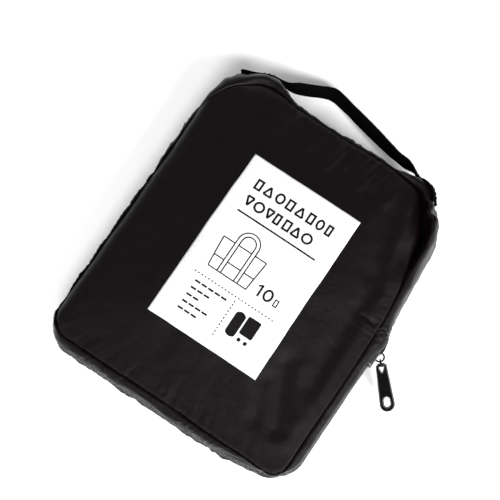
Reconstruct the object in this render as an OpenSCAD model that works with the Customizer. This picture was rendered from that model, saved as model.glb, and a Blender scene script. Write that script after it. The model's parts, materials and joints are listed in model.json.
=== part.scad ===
// Foldable tote bag packed in its own zip pouch.
// The pouch lies on its back panel: +Z is up through the front panel, +Y points to the handle,
// and the origin is the centre of the resting face. Millimetres.

/* [Pouch] */
// Width between the side seams
pouch_w = 138; // [126:1:150]
// Height between the bottom and top seams
pouch_h = 163; // [152:1:180]
// Depth from the back seam to the front seam
depth = 30; // [30:1:36]
// Radius of the bottom corners at the seams
bottom_r = 9; // [8:1:16]
// Radius of the top corners at the seams
top_r = 18; // [16:1:22]
// How far the gusset bows out past the seams
bow = 3.6; // [3.2:0.1:4.2]
// Rise of the front panel's crown above its seam
crown = 3.4; // [3.2:0.1:5]
// Thickness of the nylon cloth
cloth = 0.8; // [0.6:0.1:1]

/* [Zipper] */
// Height on the right side where the zipper leaves the plain gusset
joint_y = 9; // [6:1:20]
// Width of the gap between the gusset's two zip strips
zip_gap = 9.2; // [8.8:0.2:10.4]
// Width of one coil
coil_w = 1.7; // [1.5:0.1:1.8]
// Length of the slider
slider_len = 9; // [8:0.5:10]

/* [Pull] */
// Angle of the pull tab from straight out, towards the bottom of the pouch
pull_swing = 46; // [0:0.5:55]
// Droop of the pull tab below level
pull_droop = 22; // [0:1:32]
// Length of the pull tab from its bar to its tip
tab_len = 25; // [18:1:26]
// Width of the pull tab at its bar end
tab_neck_w = 5.2; // [4.6:0.2:5.6]
// Width of the pull tab at its round end
tab_end_w = 8.6; // [7.6:0.2:9.4]

/* [Handle] */
// Width of the handle tape
strap_w = 8; // [6:0.5:8]
// Thickness of the handle tape
strap_t = 1.2; // [0.9:0.1:1.4]
// Rise of the handle loop from its two ends
strap_rise = 17.5; // [12:0.5:24]
// Angle at which the loop droops below level
strap_droop = 36; // [0:1:40]

/* [Label] */
// Width of the sewn label
label_w = 64; // [56:1:72]
// Height of the sewn label
label_h = 96; // [88:1:104]
// Offset of the label's centre from the pouch's centre
label_at = [-0.5, 2];

/* [Hidden] */
$fn = 64;

mid_z = depth / 2;
seam_u = 0.4;                       // the panels reach this far past the seam line
rim_drop = 1.2;                     // the gusset stops this far short of the full depth
rim_z = depth - rim_drop;           // where the gusset meets the front panel
back_t = rim_drop - 0.1;            // thickness of the back panel
zip_edge_z = mid_z + zip_gap / 2;   // edge of the front zip strip
gusset_lean = (bow - seam_u) / (rim_z - zip_edge_z);

corner_drop = crown + rim_drop - cloth - 0.3;   // fall of the crown at the panel's corners
dome_r = (pouch_w * pouch_w + pouch_h * pouch_h) / 8 / corner_drop;
dome_top = depth + crown;
label_t = 0.35;
label_gap = 0.05;                   // the label lies this far above the crown
ink_t = 0.1;
thread_r = 0.22;

binding_w = 3.2;
binding_t = 1;
binding_in = 4.4;                   // from the gusset's inside to the binding's far edge
binding_drop = 3;                   // from the seam to the binding's lower face

tape_t = 0.5;
tape_u = bow - cloth - 0.15;        // outer face of the zipper tape
tape_split = 0.9;                   // gap between the two tapes' inner edges
tape_reach = 9;                     // the tape reaches this far from the middle of the chain
tape_end_y = joint_y + 4;
chain_above = 6;                    // from the joint down to the slider's upper end
coil_end_y = slider_y() + slider_len / 2 - 0.4;
stop_y = coil_end_y + 0.6;
stop_len = 1.6;
stop_w = 4;                         // length of the bottom stop across the chain

run_gap = 0.25;                     // running clearance inside the slider
plate_t = 1;
slider_w = 7;
plate_corner_r = 1.2;
plate_taper = 0.5;                  // each side of a plate narrows this much to the tail
post_y = 1.6;
post_len = 2.2;
post_w = 0.5;
channel_z = tape_split / 2 + coil_w + 0.3;
outer_plate_u = tape_u + coil_w + run_gap;
bail_wire_r = 0.5;
bail_r = 2.3;
bail_y = 2;                         // the bail sits this far above the slider's middle
bail_u = outer_plate_u + plate_t + 1.3;
collar_t = 0.4;                     // collars where the bail is set into the plate
collar_w = 0.3;
link_wire_r = 0.4;
link_inner_r = 0.75;
link_reach = bail_r + 1.25;         // from the bail's centre to the pull tab's bar
tab_t = 1.5;
tab_bar_r = 0.55;
tab_corner_r = 1.2;
tab_recess = 0.25;                  // depth of the shallow panel in each face of the tab
tab_rim = 0.9;                      // width of the rim round that panel
eye_len = 4.3;
eye_w = 3;
hole_from_tip = 5.2;
hole_d = 3.4;
hole_stretch = 0.9;                 // half the distance between the round ends of the hole

handle_shift = -1.8;                // the handle sits this far off the pouch's middle
attach_x = 42;                      // half the distance between the loop's two ends
loop_left = handle_shift - attach_x;
loop_right = handle_shift + attach_x;
attach_y = pouch_h / 2 + bow + strap_w / 2 + 0.4;
strap_kink_x = -20.5;
strap_soft = 1.5;                   // roundness of the kink at the top of the loop
strap_gap = 0.4;
strap_steps = 40;                   // flats along the loop
tail_x = 58;                        // half the distance between the tips of the sewn ends
lie_gap = 0.05;                     // the sewn end lies this far above the gusset
end_steps = 12;                     // flats round the curve of each sewn end
crest_r = top_r + bow;

joint_rows = [1.3, 4];              // the stitch rows' distances above the joint
joint_stitch = 2;
joint_pitch = 2.6;
tack_stitches = 5;
tack_from = 86;                     // direction from the corner's centre to the first stitch
tack_step = 1.6;
border_inset = 2;                   // the label's stitches run this far inside its edge
border_stitch = 2.2;
border_pitch = 3;

tote_w = pouch_w - 14;
tote_len = pouch_h - 24;
tote_t = 0.9;
tote_gap = 0.4;                     // gap between two layers of one folded piece
stack_gap = 0.6;                    // gap between two folded pieces
panel_layers = 6;
few_layers = 3;
tote_handle_w = 26;
tote_handle_x = 32;
tote_hem_w = 12;
tote_back_z = 1.8;
tote_gusset_z = tote_back_z + panel_layers * (tote_t + tote_gap) + stack_gap;
tote_strap_z = tote_gusset_z + few_layers * (tote_t + tote_gap) + stack_gap;
tote_front_z = tote_strap_z + few_layers * (tote_t + tote_gap) + stack_gap;

function slider_y() = joint_y - slider_len / 2 - chain_above;

// ---- shapes shared by several pieces ----

// Seam outline of the pouch, grown by `grow`: round corners, larger at the top.
module seam_outline(grow = 0) {
    w = pouch_w / 2;
    h = pouch_h / 2;
    difference() {
        translate([-w - grow, -h - grow]) square([2 * (w + grow), 2 * (h + grow)]);
        for (s = [-1, 1]) {
            corner_notch([s * (w - top_r), h - top_r], top_r + grow, s, 1);
            corner_notch([s * (w - bottom_r), bottom_r - h], bottom_r + grow, s, -1);
        }
    }
}

// What is cut off a square corner to leave a round one of radius r around `centre`.
module corner_notch(centre, r, side_x, side_y) {
    translate(centre) scale_sign(side_x, side_y) difference() {
        square([r + 1, r + 1]);
        circle(r = r, $fn = 96);
    }
}

module scale_sign(side_x, side_y) {
    mirror([side_x < 0 ? 1 : 0, 0]) mirror([0, side_y < 0 ? 1 : 0]) children();
}

// A profile (distance outside the seam, height) run straight down the right side.
module side_run(y_low, y_high) {
    translate([pouch_w / 2, y_high, 0]) rotate([90, 0, 0]) linear_extrude(y_high - y_low) children();
}

// The same profile run across the top (sign 1) or the bottom (sign -1).
module cross_run(length, sign) {
    rotate([0, 0, sign * 90]) translate([pouch_h / 2, length / 2, 0])
        rotate([90, 0, 0]) linear_extrude(length) children();
}

// The same profile turned round one corner, from angle a0.
module corner_run(centre, r, a0) {
    translate([centre[0], centre[1], 0]) rotate([0, 0, a0])
        rotate_extrude(angle = 90, $fn = 96) translate([r, 0]) children();
}

// Profile swept along the zipper: down the right side, round the bottom, up the left side.
module zip_sweep(end_y) {
    low = bottom_r - pouch_h / 2;
    cx = pouch_w / 2 - bottom_r;
    for (m = [0, 1]) mirror([m, 0, 0]) {
        side_run(low, end_y) children();
        corner_run([cx, low], bottom_r, -90) children();
    }
    cross_run(2 * cx, -1) children();
}

// Profile swept along the plain gusset over the top.
module upper_sweep(start_y) {
    high = pouch_h / 2 - top_r;
    cx = pouch_w / 2 - top_r;
    for (m = [0, 1]) mirror([m, 0, 0]) {
        side_run(start_y, high) children();
        corner_run([cx, high], top_r, 0) children();
    }
    cross_run(2 * cx, 1) children();
}

// The profile's other half, on the back side of the chain.
module back_half() {
    translate([0, depth]) mirror([0, 1]) children();
}

// Everything between two heights above the crowned front panel.
module dome_layer(low, high) {
    translate([0, 0, dome_top - dome_r]) difference() {
        sphere(r = dome_r + high, $fn = 360);
        sphere(r = dome_r + low, $fn = 360);
    }
}

// A flat figure laid on the crown, between two heights above it.
module on_front(low, high) {
    intersection() {
        translate([0, 0, depth]) linear_extrude(2 * crown) children();
        dome_layer(low, high);
    }
}

// A sheet folded back and forth in `layers` layers, crosswise along X.
module folded_sheet(width, length, layers, t, gap) {
    pitch = t + gap;
    rotate([90, 0, 90]) linear_extrude(width, center = true) {
        for (i = [0:layers - 1]) translate([-length / 2, i * pitch]) square([length, t]);
        for (i = [0:layers - 2]) {
            side = i % 2 == 0 ? 1 : -1;
            translate([side * length / 2, i * pitch + t + gap / 2]) fold_end(side, t, gap);
        }
    }
}

// The half ring that joins two layers of a folded sheet.
module fold_end(side, t, gap) {
    scale_sign(side, 1) difference() {
        circle(r = t + gap / 2);
        circle(r = gap / 2);
        translate([-2 * t - gap, -2 * t - gap]) square([2 * t + gap, 4 * t + 2 * gap]);
    }
}

// ---- pouch ----

module back_panel() {
    color("#1d1a1b") linear_extrude(back_t) seam_outline(seam_u);
}

module front_panel() {
    wall = 1.2;                     // width of the panel's turned-down edge
    below = 1;                      // the hollow is cut out through the open underside
    color("#1f1c1d") difference() {
        intersection() {
            translate([0, 0, rim_z]) linear_extrude(2 * crown) seam_outline(seam_u);
            translate([0, 0, dome_top - dome_r]) sphere(r = dome_r, $fn = 360);
        }
        intersection() {
            translate([0, 0, rim_z - below]) linear_extrude(2 * crown + below)
                seam_outline(seam_u - wall);
            translate([0, 0, dome_top - dome_r]) sphere(r = dome_r - cloth, $fn = 360);
        }
    }
}

module zip_strip_profile() {
    polygon([
        [seam_u, rim_z], [bow, zip_edge_z],
        [bow - cloth, zip_edge_z], [seam_u - cloth, rim_z],
    ]);
}

module upper_gusset() {
    color("#211e1f") upper_sweep(joint_y) union() {
        zip_strip_profile();
        back_half() zip_strip_profile();
        translate([bow - cloth, mid_z - zip_gap / 2]) square([cloth, zip_gap]);
    }
}

module zip_gusset_front() {
    color("#232021") zip_sweep(joint_y - 0.1) zip_strip_profile();
}

module zip_gusset_back() {
    color("#232021") zip_sweep(joint_y - 0.1) back_half() zip_strip_profile();
}

module binding_profile() {
    translate([seam_u - cloth - binding_in, rim_z - binding_drop]) square([binding_w, binding_t]);
}

module seam_binding() {
    upper_sweep(0) binding_profile();
    zip_sweep(0) binding_profile();
}

module front_seam_binding() {
    color("#151414") seam_binding();
}

module back_seam_binding() {
    color("#151414") translate([0, 0, depth]) mirror([0, 0, 1]) seam_binding();
}

// ---- zipper ----

module tape_profile() {
    low = mid_z + tape_split / 2;
    high = mid_z + tape_reach;
    lean = gusset_lean * (high - zip_edge_z);
    polygon([
        [tape_u, low], [tape_u, zip_edge_z], [tape_u - lean, high],
        [tape_u - lean - tape_t, high], [tape_u - tape_t, zip_edge_z], [tape_u - tape_t, low],
    ]);
}

module coil_profile() {
    translate([tape_u, mid_z + tape_split / 2]) square([coil_w / 2, coil_w]);
    translate([tape_u + coil_w / 2, mid_z + tape_split / 2 + coil_w / 2]) circle(d = coil_w);
}

module zipper_tape_front() {
    color("#141313") zip_sweep(tape_end_y) tape_profile();
}

module zipper_tape_back() {
    color("#141313") zip_sweep(tape_end_y) back_half() tape_profile();
}

module zipper_coil_front() {
    color("#1a1a1c") zip_sweep(coil_end_y) coil_profile();
}

module zipper_coil_back() {
    color("#1a1a1c") zip_sweep(coil_end_y) back_half() coil_profile();
}

module zipper_top_stops() {
    color("#2b2b2e") side_run(stop_y, stop_y + stop_len) union() {
        coil_profile();
        back_half() coil_profile();
    }
}

module zipper_bottom_stop() {
    color("#2b2b2e") mirror([1, 0, 0]) side_run(stop_y, stop_y + stop_len)
        translate([tape_u, mid_z - stop_w / 2]) square([coil_w, stop_w]);
}

// Two rows of stitches across the end of the plain gusset, where it is sewn over the zipper.
module joint_stitching() {
    face_x = pouch_w / 2 + bow + thread_r;
    for (row = joint_rows) for (i = [-1:1])
        translate([face_x, joint_y + row, mid_z + i * joint_pitch])
            cylinder(r = thread_r, h = joint_stitch, center = true, $fn = 16);
}

module joint_stitching_right() {
    color("#100f0f") joint_stitching();
}

module joint_stitching_left() {
    color("#100f0f") mirror([1, 0, 0]) joint_stitching();
}

// ---- label ----

module label() {
    color("#f2f2f0") on_front(label_gap, label_gap + label_t)
        translate(label_at) square([label_w, label_h], center = true);
}

module label_stitching() {
    x = label_w / 2 - border_inset;
    y = label_h / 2 - border_inset;
    nx = floor(x / border_pitch - 0.5);
    ny = floor(y / border_pitch - 0.5);
    color("#e8e8e4") on_front(label_gap + label_t, label_gap + label_t + 2 * thread_r)
        translate(label_at) for (s = [-1, 1]) {
            for (i = [-ny:ny]) translate([s * x, i * border_pitch])
                square([2 * thread_r, border_stitch], center = true);
            for (i = [-nx:nx]) translate([i * border_pitch, s * y])
                square([border_stitch, 2 * thread_r], center = true);
        }
}

// An open box drawn with a thin line: the plain stand-in for one printed character.
module box_mark(w, h, line) {
    difference() {
        square([w, h]);
        translate([line, line]) square([w - 2 * line, h - 2 * line]);
    }
}

module box_row(widths, x, y, h, gap, line) {
    for (i = [0:len(widths) - 1])
        translate([x + i * gap + sum_to(widths, i), y]) box_mark(widths[i], h, line);
}

function sum_to(list, n) = n <= 0 ? 0 : list[n - 1] + sum_to(list, n - 1);

// Outline of a tote with its arched double-line handle, drawn from the middle of its mouth.
module tote_figure(line) {
    half_top = 12.8;
    half_foot = 11.3;
    half_band = 12.2;
    low = -16.6;
    band = -10.2;
    strap_out = 6;
    strap_in = 3.9;
    arch_y = 3;
    for (s = [-1, 1]) {
        line_between([s * half_top, 0], [s * half_foot, low], line);
        line_between([s * half_top, 0], [s * strap_out, 0], line);
        line_between([s * half_band, band], [s * strap_out, band], line);
        for (x = [strap_in, strap_out]) line_between([s * x, arch_y], [s * x, low], line);
    }
    line_between([-half_foot, low], [half_foot, low], line);
    for (y = [0, band]) line_between([-strap_in, y], [strap_in, y], line);
    translate([0, arch_y]) for (r = [strap_in, strap_out]) difference() {
        circle(r = r + line / 2);
        circle(r = r - line / 2);
        translate([-2 * strap_out, -4 * strap_out]) square([4 * strap_out, 4 * strap_out]);
    }
}

// A straight stroke between two points.
module line_between(a, b, line) {
    d = b - a;
    translate(a) rotate(atan2(d[1], d[0])) translate([0, -line / 2]) square([norm(d), line]);
}

// Printed marks, placed from the label's centre: two heading rows, a bar, the tote's outline,
// a capacity figure, rows of dashes and a plain disc, with dotted lines between them.
module print_figure() {
    heavy = 0.75;
    fine = 0.35;
    left = -22.6;
    right = 23.5;
    letter_h = 6;
    letter_gap = 0.9;
    wide_gap = 1.35;
    head_1 = [4, 5, 4.6, 4.6, 5, 4.2, 3.4, 3.4];
    head_2a = [4.4, 5.4, 4.6, 3.6];
    head_2b = [4.2, 5.4, 5.4];
    head_1_y = 32.3;
    head_2_y = 22.5;
    word_x = 0.2;
    bar_y = 18.3;
    bar_t = 0.7;
    tote_at = [-8.2, 3.5];
    figure_at = [7.6, -13];
    figure = [3, 3.8, 3];
    figure_gap = 1.1;
    dot_y = -19.1;
    dot_x = 1.8;
    dot = 1;
    dot_pitch = 2;
    dash_at = [-20.5, -23.6];
    dash = [3.1, 1.2];
    dash_pitch = 3.9;
    dash_counts = [5, 3, 2, 4, 3];
    disc_at = [12.9, -30.7];
    disc_d = 14;
    box_row(head_1, left, head_1_y, letter_h, wide_gap, heavy);
    box_row(head_2a, left, head_2_y, letter_h, letter_gap, heavy);
    box_row(head_2b, word_x, head_2_y, letter_h, letter_gap, heavy);
    translate([left, bar_y]) square([right - left, bar_t]);
    translate(tote_at) tote_figure(fine);
    box_row(figure, figure_at[0], figure_at[1], letter_h, figure_gap, heavy);
    for (x = [left:dot_pitch:right - dot]) translate([x, dot_y]) square([dot, fine]);
    for (i = [1:11]) translate([dot_x, dot_y - dot_pitch * i]) square([fine, dot]);
    for (row = [0:len(dash_counts) - 1]) for (i = [0:dash_counts[row] - 1])
        translate(dash_at + dash_pitch * [i, -row]) square(dash);
    translate(disc_at) circle(d = disc_d);
}

module label_print() {
    color("#151515") on_front(label_gap + label_t, label_gap + label_t + ink_t)
        translate(label_at) print_figure();
}

// ---- handle ----

// Height of the loop's middle line above its hinge line, a soft kink between two slopes.
function strap_mid(x) = let (
    left = (strap_rise + strap_soft) * (x - loop_left) / (strap_kink_x - loop_left),
    right = (strap_rise + strap_soft) * (loop_right - x) / (loop_right - strap_kink_x),
    half = (left - right) / 2
) (left + right) / 2 - sqrt(half * half + strap_soft * strap_soft);

function strap_slope(x) = (strap_mid(x + 0.1) - strap_mid(x - 0.1)) / 0.2;

function strap_edge(x, side) =
    [x, strap_mid(x) + side * strap_t / 2 * sqrt(1 + pow(strap_slope(x), 2))];

module handle_strap() {
    first = loop_left + strap_gap;
    last = loop_right - strap_gap;
    xs = [for (i = [0:strap_steps]) first + (last - first) * i / strap_steps];
    color("#121112") translate([0, attach_y, mid_z]) rotate([-strap_droop, 0, 0])
        linear_extrude(strap_w, center = true) polygon(concat(
            [for (x = xs) strap_edge(x, -1)],
            [for (i = [strap_steps:-1:0]) strap_edge(xs[i], 1)]
        ));
}

// The tape's sewn end on the +X side: it follows the corner's crest, then lifts off to the loop.
module handle_end(loop_x, tip_x) {
    corner = [pouch_w / 2 - top_r, pouch_h / 2 - top_r];
    in_r = crest_r + lie_gap;
    out_r = in_r + strap_t;
    first = acos((tip_x - corner[0]) / in_r);
    turns = [for (i = [0:end_steps]) first + (90 - first) * i / end_steps];
    loop_y = attach_y - strap_t / 2;
    translate([0, 0, mid_z]) linear_extrude(strap_w, center = true) polygon(concat(
        [for (a = turns) corner + out_r * [cos(a), sin(a)]],
        [[loop_x, loop_y + strap_t], [loop_x, loop_y]],
        [for (i = [end_steps:-1:0]) corner + in_r * [cos(turns[i]), sin(turns[i])]]
    ));
}

module handle_end_right() {
    color("#121112") handle_end(loop_right, tail_x + handle_shift);
}

module handle_end_left() {
    color("#121112") mirror([1, 0, 0]) handle_end(-loop_left, tail_x - handle_shift);
}

// Bar tack: short parallel stitches across the sewn end.
module handle_tack() {
    face_r = crest_r + lie_gap + strap_t + thread_r;
    length = strap_w - 1.6;
    translate([pouch_w / 2 - top_r, pouch_h / 2 - top_r, mid_z]) for (i = [0:tack_stitches - 1])
        rotate([0, 0, tack_from - tack_step * i]) translate([face_r, 0, 0])
            cylinder(r = thread_r, h = length, center = true, $fn = 16);
}

module handle_tack_right() {
    color("#0d0c0c") handle_tack();
}

module handle_tack_left() {
    color("#0d0c0c") mirror([1, 0, 0]) handle_tack();
}

// ---- slider and pull ----

// Places a piece drawn around the slider's centre, X out of the pouch.
module at_slider() {
    translate([pouch_w / 2, slider_y(), mid_z]) children();
}

// Places a piece drawn around the bail's centre, X along the pull tab.
module at_bail() {
    at_slider() translate([bail_u, bail_y, 0]) rotate([0, 0, -pull_swing]) children();
}

// Shield outline of the slider's plates in Y and Z: wide at the mouth, narrower at the tail.
module slider_outline() {
    l = slider_len / 2;
    w = slider_w / 2;
    tail = w - plate_taper;
    r = plate_corner_r;
    shoulder = 1 - l / 2;
    for (s = [-1, 1]) {
        translate([l - r, s * (w - r)]) circle(r = r);
        translate([r - l, s * (tail - r)]) circle(r = r);
    }
    polygon([
        [l, w - r], [l - r, w], [shoulder, w], [r - l, tail], [-l, tail - r],
        [-l, r - tail], [r - l, -tail], [shoulder, -w], [l - r, -w], [l, r - w],
    ]);
}

// A flat figure in (Y, Z) raised along X from u0 to u1.
module raised(u0, u1) {
    translate([u0, 0, 0]) rotate([90, 0, 90]) linear_extrude(u1 - u0) children();
}

module slider_body() {
    inner_u = tape_u - tape_t - run_gap;
    flange_u = tape_u + run_gap + 0.1;
    color("#26262a") at_slider() {
        raised(inner_u - plate_t, inner_u) slider_outline();
        raised(outer_plate_u, outer_plate_u + plate_t) slider_outline();
        raised(flange_u, outer_plate_u) intersection() {
            slider_outline();
            union() for (s = [-1, 1])
                translate([-slider_len, s > 0 ? channel_z : -slider_w])
                    square([2 * slider_len, slider_w - channel_z]);
        }
        raised(inner_u, outer_plate_u) translate([post_y, -post_w / 2]) square([post_len, post_w]);
    }
}

module slider_bail() {
    foot_u = outer_plate_u + plate_t;
    color("#2f2f34") at_slider() translate([0, bail_y, 0]) {
        translate([bail_u, 0, 0]) rotate([0, 0, -90]) rotate_extrude(angle = 180)
            translate([bail_r, 0]) circle(r = bail_wire_r, $fn = 24);
        for (s = [-1, 1]) translate([foot_u, s * bail_r, 0]) rotate([0, 90, 0]) {
            cylinder(r = bail_wire_r, h = bail_u - foot_u, $fn = 24);
            cylinder(r = bail_wire_r + collar_w, h = collar_t, $fn = 24);
        }
    }
}

module pull_link() {
    ring_r = link_inner_r + link_wire_r;
    color("#2f2f34") at_bail() rotate([90, 0, 0]) {
        translate([link_reach, 0, 0]) rotate([0, 0, -90]) rotate_extrude(angle = 180)
            translate([ring_r, 0]) circle(r = link_wire_r, $fn = 24);
        translate([bail_r, 0, 0]) rotate([0, 0, 90]) rotate_extrude(angle = 180)
            translate([ring_r, 0]) circle(r = link_wire_r, $fn = 24);
        for (s = [-1, 1]) translate([bail_r, s * ring_r, 0]) rotate([0, 90, 0])
            cylinder(r = link_wire_r, h = link_reach - bail_r, $fn = 24);
    }
}

// Outline of the pull tab, drawn along +X from its bar: a slim shield with a round end.
module tab_outline(inset = 0) {
    neck = tab_neck_w / 2 - inset;
    end_r = tab_end_w / 2 - inset;
    end_x = tab_len - tab_end_w / 2;
    r = tab_corner_r - inset / 2;
    x0 = inset - tab_bar_r;
    for (s = [-1, 1]) translate([x0 + r, s * (neck - r)]) circle(r = r);
    translate([end_x, 0]) circle(r = end_r);
    polygon([
        [x0, r - neck], [x0 + r, -neck], [end_x, -end_r],
        [end_x, end_r], [x0 + r, neck], [x0, neck - r],
    ]);
}

module pull_tab() {
    eye_x = tab_bar_r + 1.6;
    eye_tip = 0.5;
    hole_x = tab_len - hole_from_tip;
    panel_x = eye_len + 1.4;
    panel_end = hole_x - 3.6;
    color("#141416") at_bail() translate([link_reach, 0, 0]) rotate([0, pull_droop, 0]) {
        difference() {
            linear_extrude(tab_t, center = true) difference() {
                tab_outline();
                polygon([
                    [-eye_w, -eye_w / 2], [eye_x, -eye_w / 2], [eye_len, -eye_tip],
                    [eye_len, eye_tip], [eye_x, eye_w / 2], [-eye_w, eye_w / 2],
                ]);
                for (s = [-1, 1]) translate([hole_x + s * hole_stretch, 0]) circle(d = hole_d);
                translate([hole_x, 0]) square([2 * hole_stretch, hole_d], center = true);
            }
            for (s = [-1, 1]) translate([0, 0, s * tab_t / 2])
                linear_extrude(2 * tab_recess, center = true) intersection() {
                    tab_outline(tab_rim);
                    translate([panel_x, -tab_end_w / 2]) square([panel_end - panel_x, tab_end_w]);
                }
        }
        rotate([90, 0, 0]) cylinder(r = tab_bar_r, h = eye_w + 0.4, center = true, $fn = 32);
    }
}

// ---- the folded tote inside ----

module tote_back_panel() {
    color("#1b191a") translate([0, 0, tote_back_z])
        folded_sheet(tote_w, tote_len, panel_layers, tote_t, tote_gap);
}

module tote_gusset() {
    color("#1b191a") translate([0, 0, tote_gusset_z])
        folded_sheet(tote_w - 4, tote_len - 6, few_layers, tote_t, tote_gap);
}

module tote_handle() {
    folded_sheet(tote_handle_w, tote_len - 8, few_layers, tote_t, tote_gap);
}

module tote_handle_front() {
    color("#131213") translate([-tote_handle_x, 0, tote_strap_z]) tote_handle();
}

module tote_handle_rear() {
    color("#131213") translate([tote_handle_x, 0, tote_strap_z]) tote_handle();
}

module tote_hem_binding() {
    color("#100f10") translate([0, 0, tote_strap_z])
        folded_sheet(tote_hem_w, tote_len - 10, few_layers, tote_t, tote_gap);
}

module tote_front_panel() {
    color("#1b191a") translate([0, 0, tote_front_z])
        folded_sheet(tote_w, tote_len, panel_layers, tote_t, tote_gap);
}

back_panel();
front_panel();
upper_gusset();
zip_gusset_front();
zip_gusset_back();
front_seam_binding();
back_seam_binding();
zipper_tape_front();
zipper_tape_back();
zipper_coil_front();
zipper_coil_back();
zipper_top_stops();
zipper_bottom_stop();
joint_stitching_right();
joint_stitching_left();
label();
label_stitching();
label_print();
handle_end_left();
handle_end_right();
handle_tack_left();
handle_tack_right();
handle_strap();
slider_body();
slider_bail();
pull_link();
pull_tab();
tote_back_panel();
tote_front_panel();
tote_gusset();
tote_handle_front();
tote_handle_rear();
tote_hem_binding();
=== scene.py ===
"""Looks of the foldable tote bag in its zip pouch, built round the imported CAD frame."""
import json
import math

import bmesh
import bpy
import numpy as np
from mathutils import Matrix, Vector, noise
from mathutils.bvhtree import BVHTree


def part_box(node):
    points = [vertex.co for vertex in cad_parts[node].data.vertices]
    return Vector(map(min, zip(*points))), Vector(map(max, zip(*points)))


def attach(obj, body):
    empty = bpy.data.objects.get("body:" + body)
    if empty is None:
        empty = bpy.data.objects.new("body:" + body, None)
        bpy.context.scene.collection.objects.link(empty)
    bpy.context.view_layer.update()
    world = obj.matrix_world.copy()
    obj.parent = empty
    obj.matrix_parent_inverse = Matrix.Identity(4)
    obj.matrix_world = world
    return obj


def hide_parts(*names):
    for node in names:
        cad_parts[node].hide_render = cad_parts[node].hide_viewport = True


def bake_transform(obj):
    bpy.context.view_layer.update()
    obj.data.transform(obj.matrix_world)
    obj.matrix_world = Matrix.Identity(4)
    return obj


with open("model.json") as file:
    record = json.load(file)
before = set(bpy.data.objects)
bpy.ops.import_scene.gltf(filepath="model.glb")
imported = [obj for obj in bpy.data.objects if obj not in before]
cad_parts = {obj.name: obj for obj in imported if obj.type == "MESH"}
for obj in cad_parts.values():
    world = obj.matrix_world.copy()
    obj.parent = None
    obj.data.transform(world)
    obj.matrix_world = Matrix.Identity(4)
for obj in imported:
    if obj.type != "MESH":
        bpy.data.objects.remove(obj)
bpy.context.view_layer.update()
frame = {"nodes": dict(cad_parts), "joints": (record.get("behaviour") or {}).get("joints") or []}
MM = 0.001


# ---------------------------------------------------------------- sizes from the frame

def mm_box(node):
    """Lowest and highest corner of a CAD node, in millimetres."""
    lo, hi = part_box(node)
    return np.array(lo) / MM, np.array(hi) / MM


JOINT = {j["name"]: j for j in frame["joints"]}
SEAM_U = 0.4                                   # the CAD panels reach this far past the seam
HALF_W = mm_box("back_panel")[1][0] - SEAM_U
HALF_H = mm_box("back_panel")[1][1] - SEAM_U
BOW = mm_box("upper_gusset")[1][0] - HALF_W
RIM_Z = mm_box("upper_gusset")[1][2]
FOOT_Z = mm_box("upper_gusset")[0][2]
MID_Z = (RIM_Z + FOOT_Z) / 2
TOP_Z = mm_box("front_panel")[1][2]
JOINT_Y = mm_box("upper_gusset")[0][1]
STRIP_Z = mm_box("zip_gusset_front")[0][2]      # lower edge of the front zip strip
STRIP_HALF = STRIP_Z - MID_Z
COIL_LO, COIL_HI = mm_box("zipper_coil_front")
TAPE_U = COIL_HI[0] - HALF_W - (COIL_HI[2] - COIL_LO[2])
COIL_W = COIL_HI[2] - COIL_LO[2]
CHAIN_GAP = COIL_LO[2] - MID_Z
CHAIN_END = COIL_HI[1]
LABEL_LO, LABEL_HI = mm_box("label")
LABEL_MID = (LABEL_LO + LABEL_HI) / 2
HINGE_Y = JOINT["handle_swing"]["pos_m"][1] / MM
STRAP_LO, STRAP_HI = mm_box("handle_strap")
TR, TL, BR, BL = 0, 1, 2, 3                     # the corners' places in each list of radii
ZIP_RADII = (18.0, 18.0, 9.0, 9.0)
CREST_RADII = (26.0, 18.0, 12.6, 12.6)
FRONT_RADII = (34.0, 25.0, 6.0, 9.0)
BACK_RADII = (22.0, 20.0, 12.0, 12.0)
AROUND = 780                                    # samples round the pouch


# ---------------------------------------------------------------- small helpers

def smooth_noise(points, scale, seed):
    """Perlin noise at each point, with features about `scale` millimetres across."""
    shift = Vector((seed * 17.3, seed * 5.1, seed * 9.7))
    return np.array([noise.noise(Vector(p) / scale + shift) for p in points])


def flat_noise(points, scale, seed):
    """The same over places in the XY plane."""
    return smooth_noise(np.c_[points, np.zeros(len(points))], scale, seed)


def line_noise(run, scale, seed):
    """The same along a line, from the distance travelled."""
    return flat_noise(np.c_[run, np.zeros(len(run))], scale, seed)


def bump(points, centre, radius):
    """A round bump of height 1 in the XY plane."""
    d = np.hypot(points[:, 0] - centre[0], points[:, 1] - centre[1])
    return np.exp(-(d / radius) ** 2)


def bumps(points, *rows):
    """Sum of round bumps, each given as (height, x, y, radius)."""
    return sum(height * bump(points, (x, y), radius) for height, x, y, radius in rows)


def step_up(x, low, high):
    """0 below low, 1 above high, smooth between."""
    t = np.clip((np.asarray(x, float) - low) / (high - low), 0, 1)
    return t * t * (3 - 2 * t)


def new_object(name, data):
    """Puts a new object in the scene."""
    obj = bpy.data.objects.new(name, data)
    bpy.context.scene.collection.objects.link(obj)
    return obj


def shade_smooth(mesh):
    mesh.polygons.foreach_set("use_smooth", [True] * len(mesh.polygons))


def make_mesh(name, verts, faces, uv=None):
    """Mesh object from millimetre vertices. uv gives each vertex a place on its cloth, in millimetres."""
    mesh = bpy.data.meshes.new(name)
    mesh.from_pydata([tuple(np.asarray(v) * MM) for v in verts], [], faces)
    if uv is not None:
        layer = mesh.uv_layers.new(name="cloth")
        loops = np.zeros(len(mesh.loops), dtype=np.int32)
        mesh.loops.foreach_get("vertex_index", loops)
        layer.data.foreach_set("uv", (np.asarray(uv, float)[loops] * MM).astype(np.float32).ravel())
    shade_smooth(mesh)
    mesh.update()
    return new_object(name, mesh)


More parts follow.
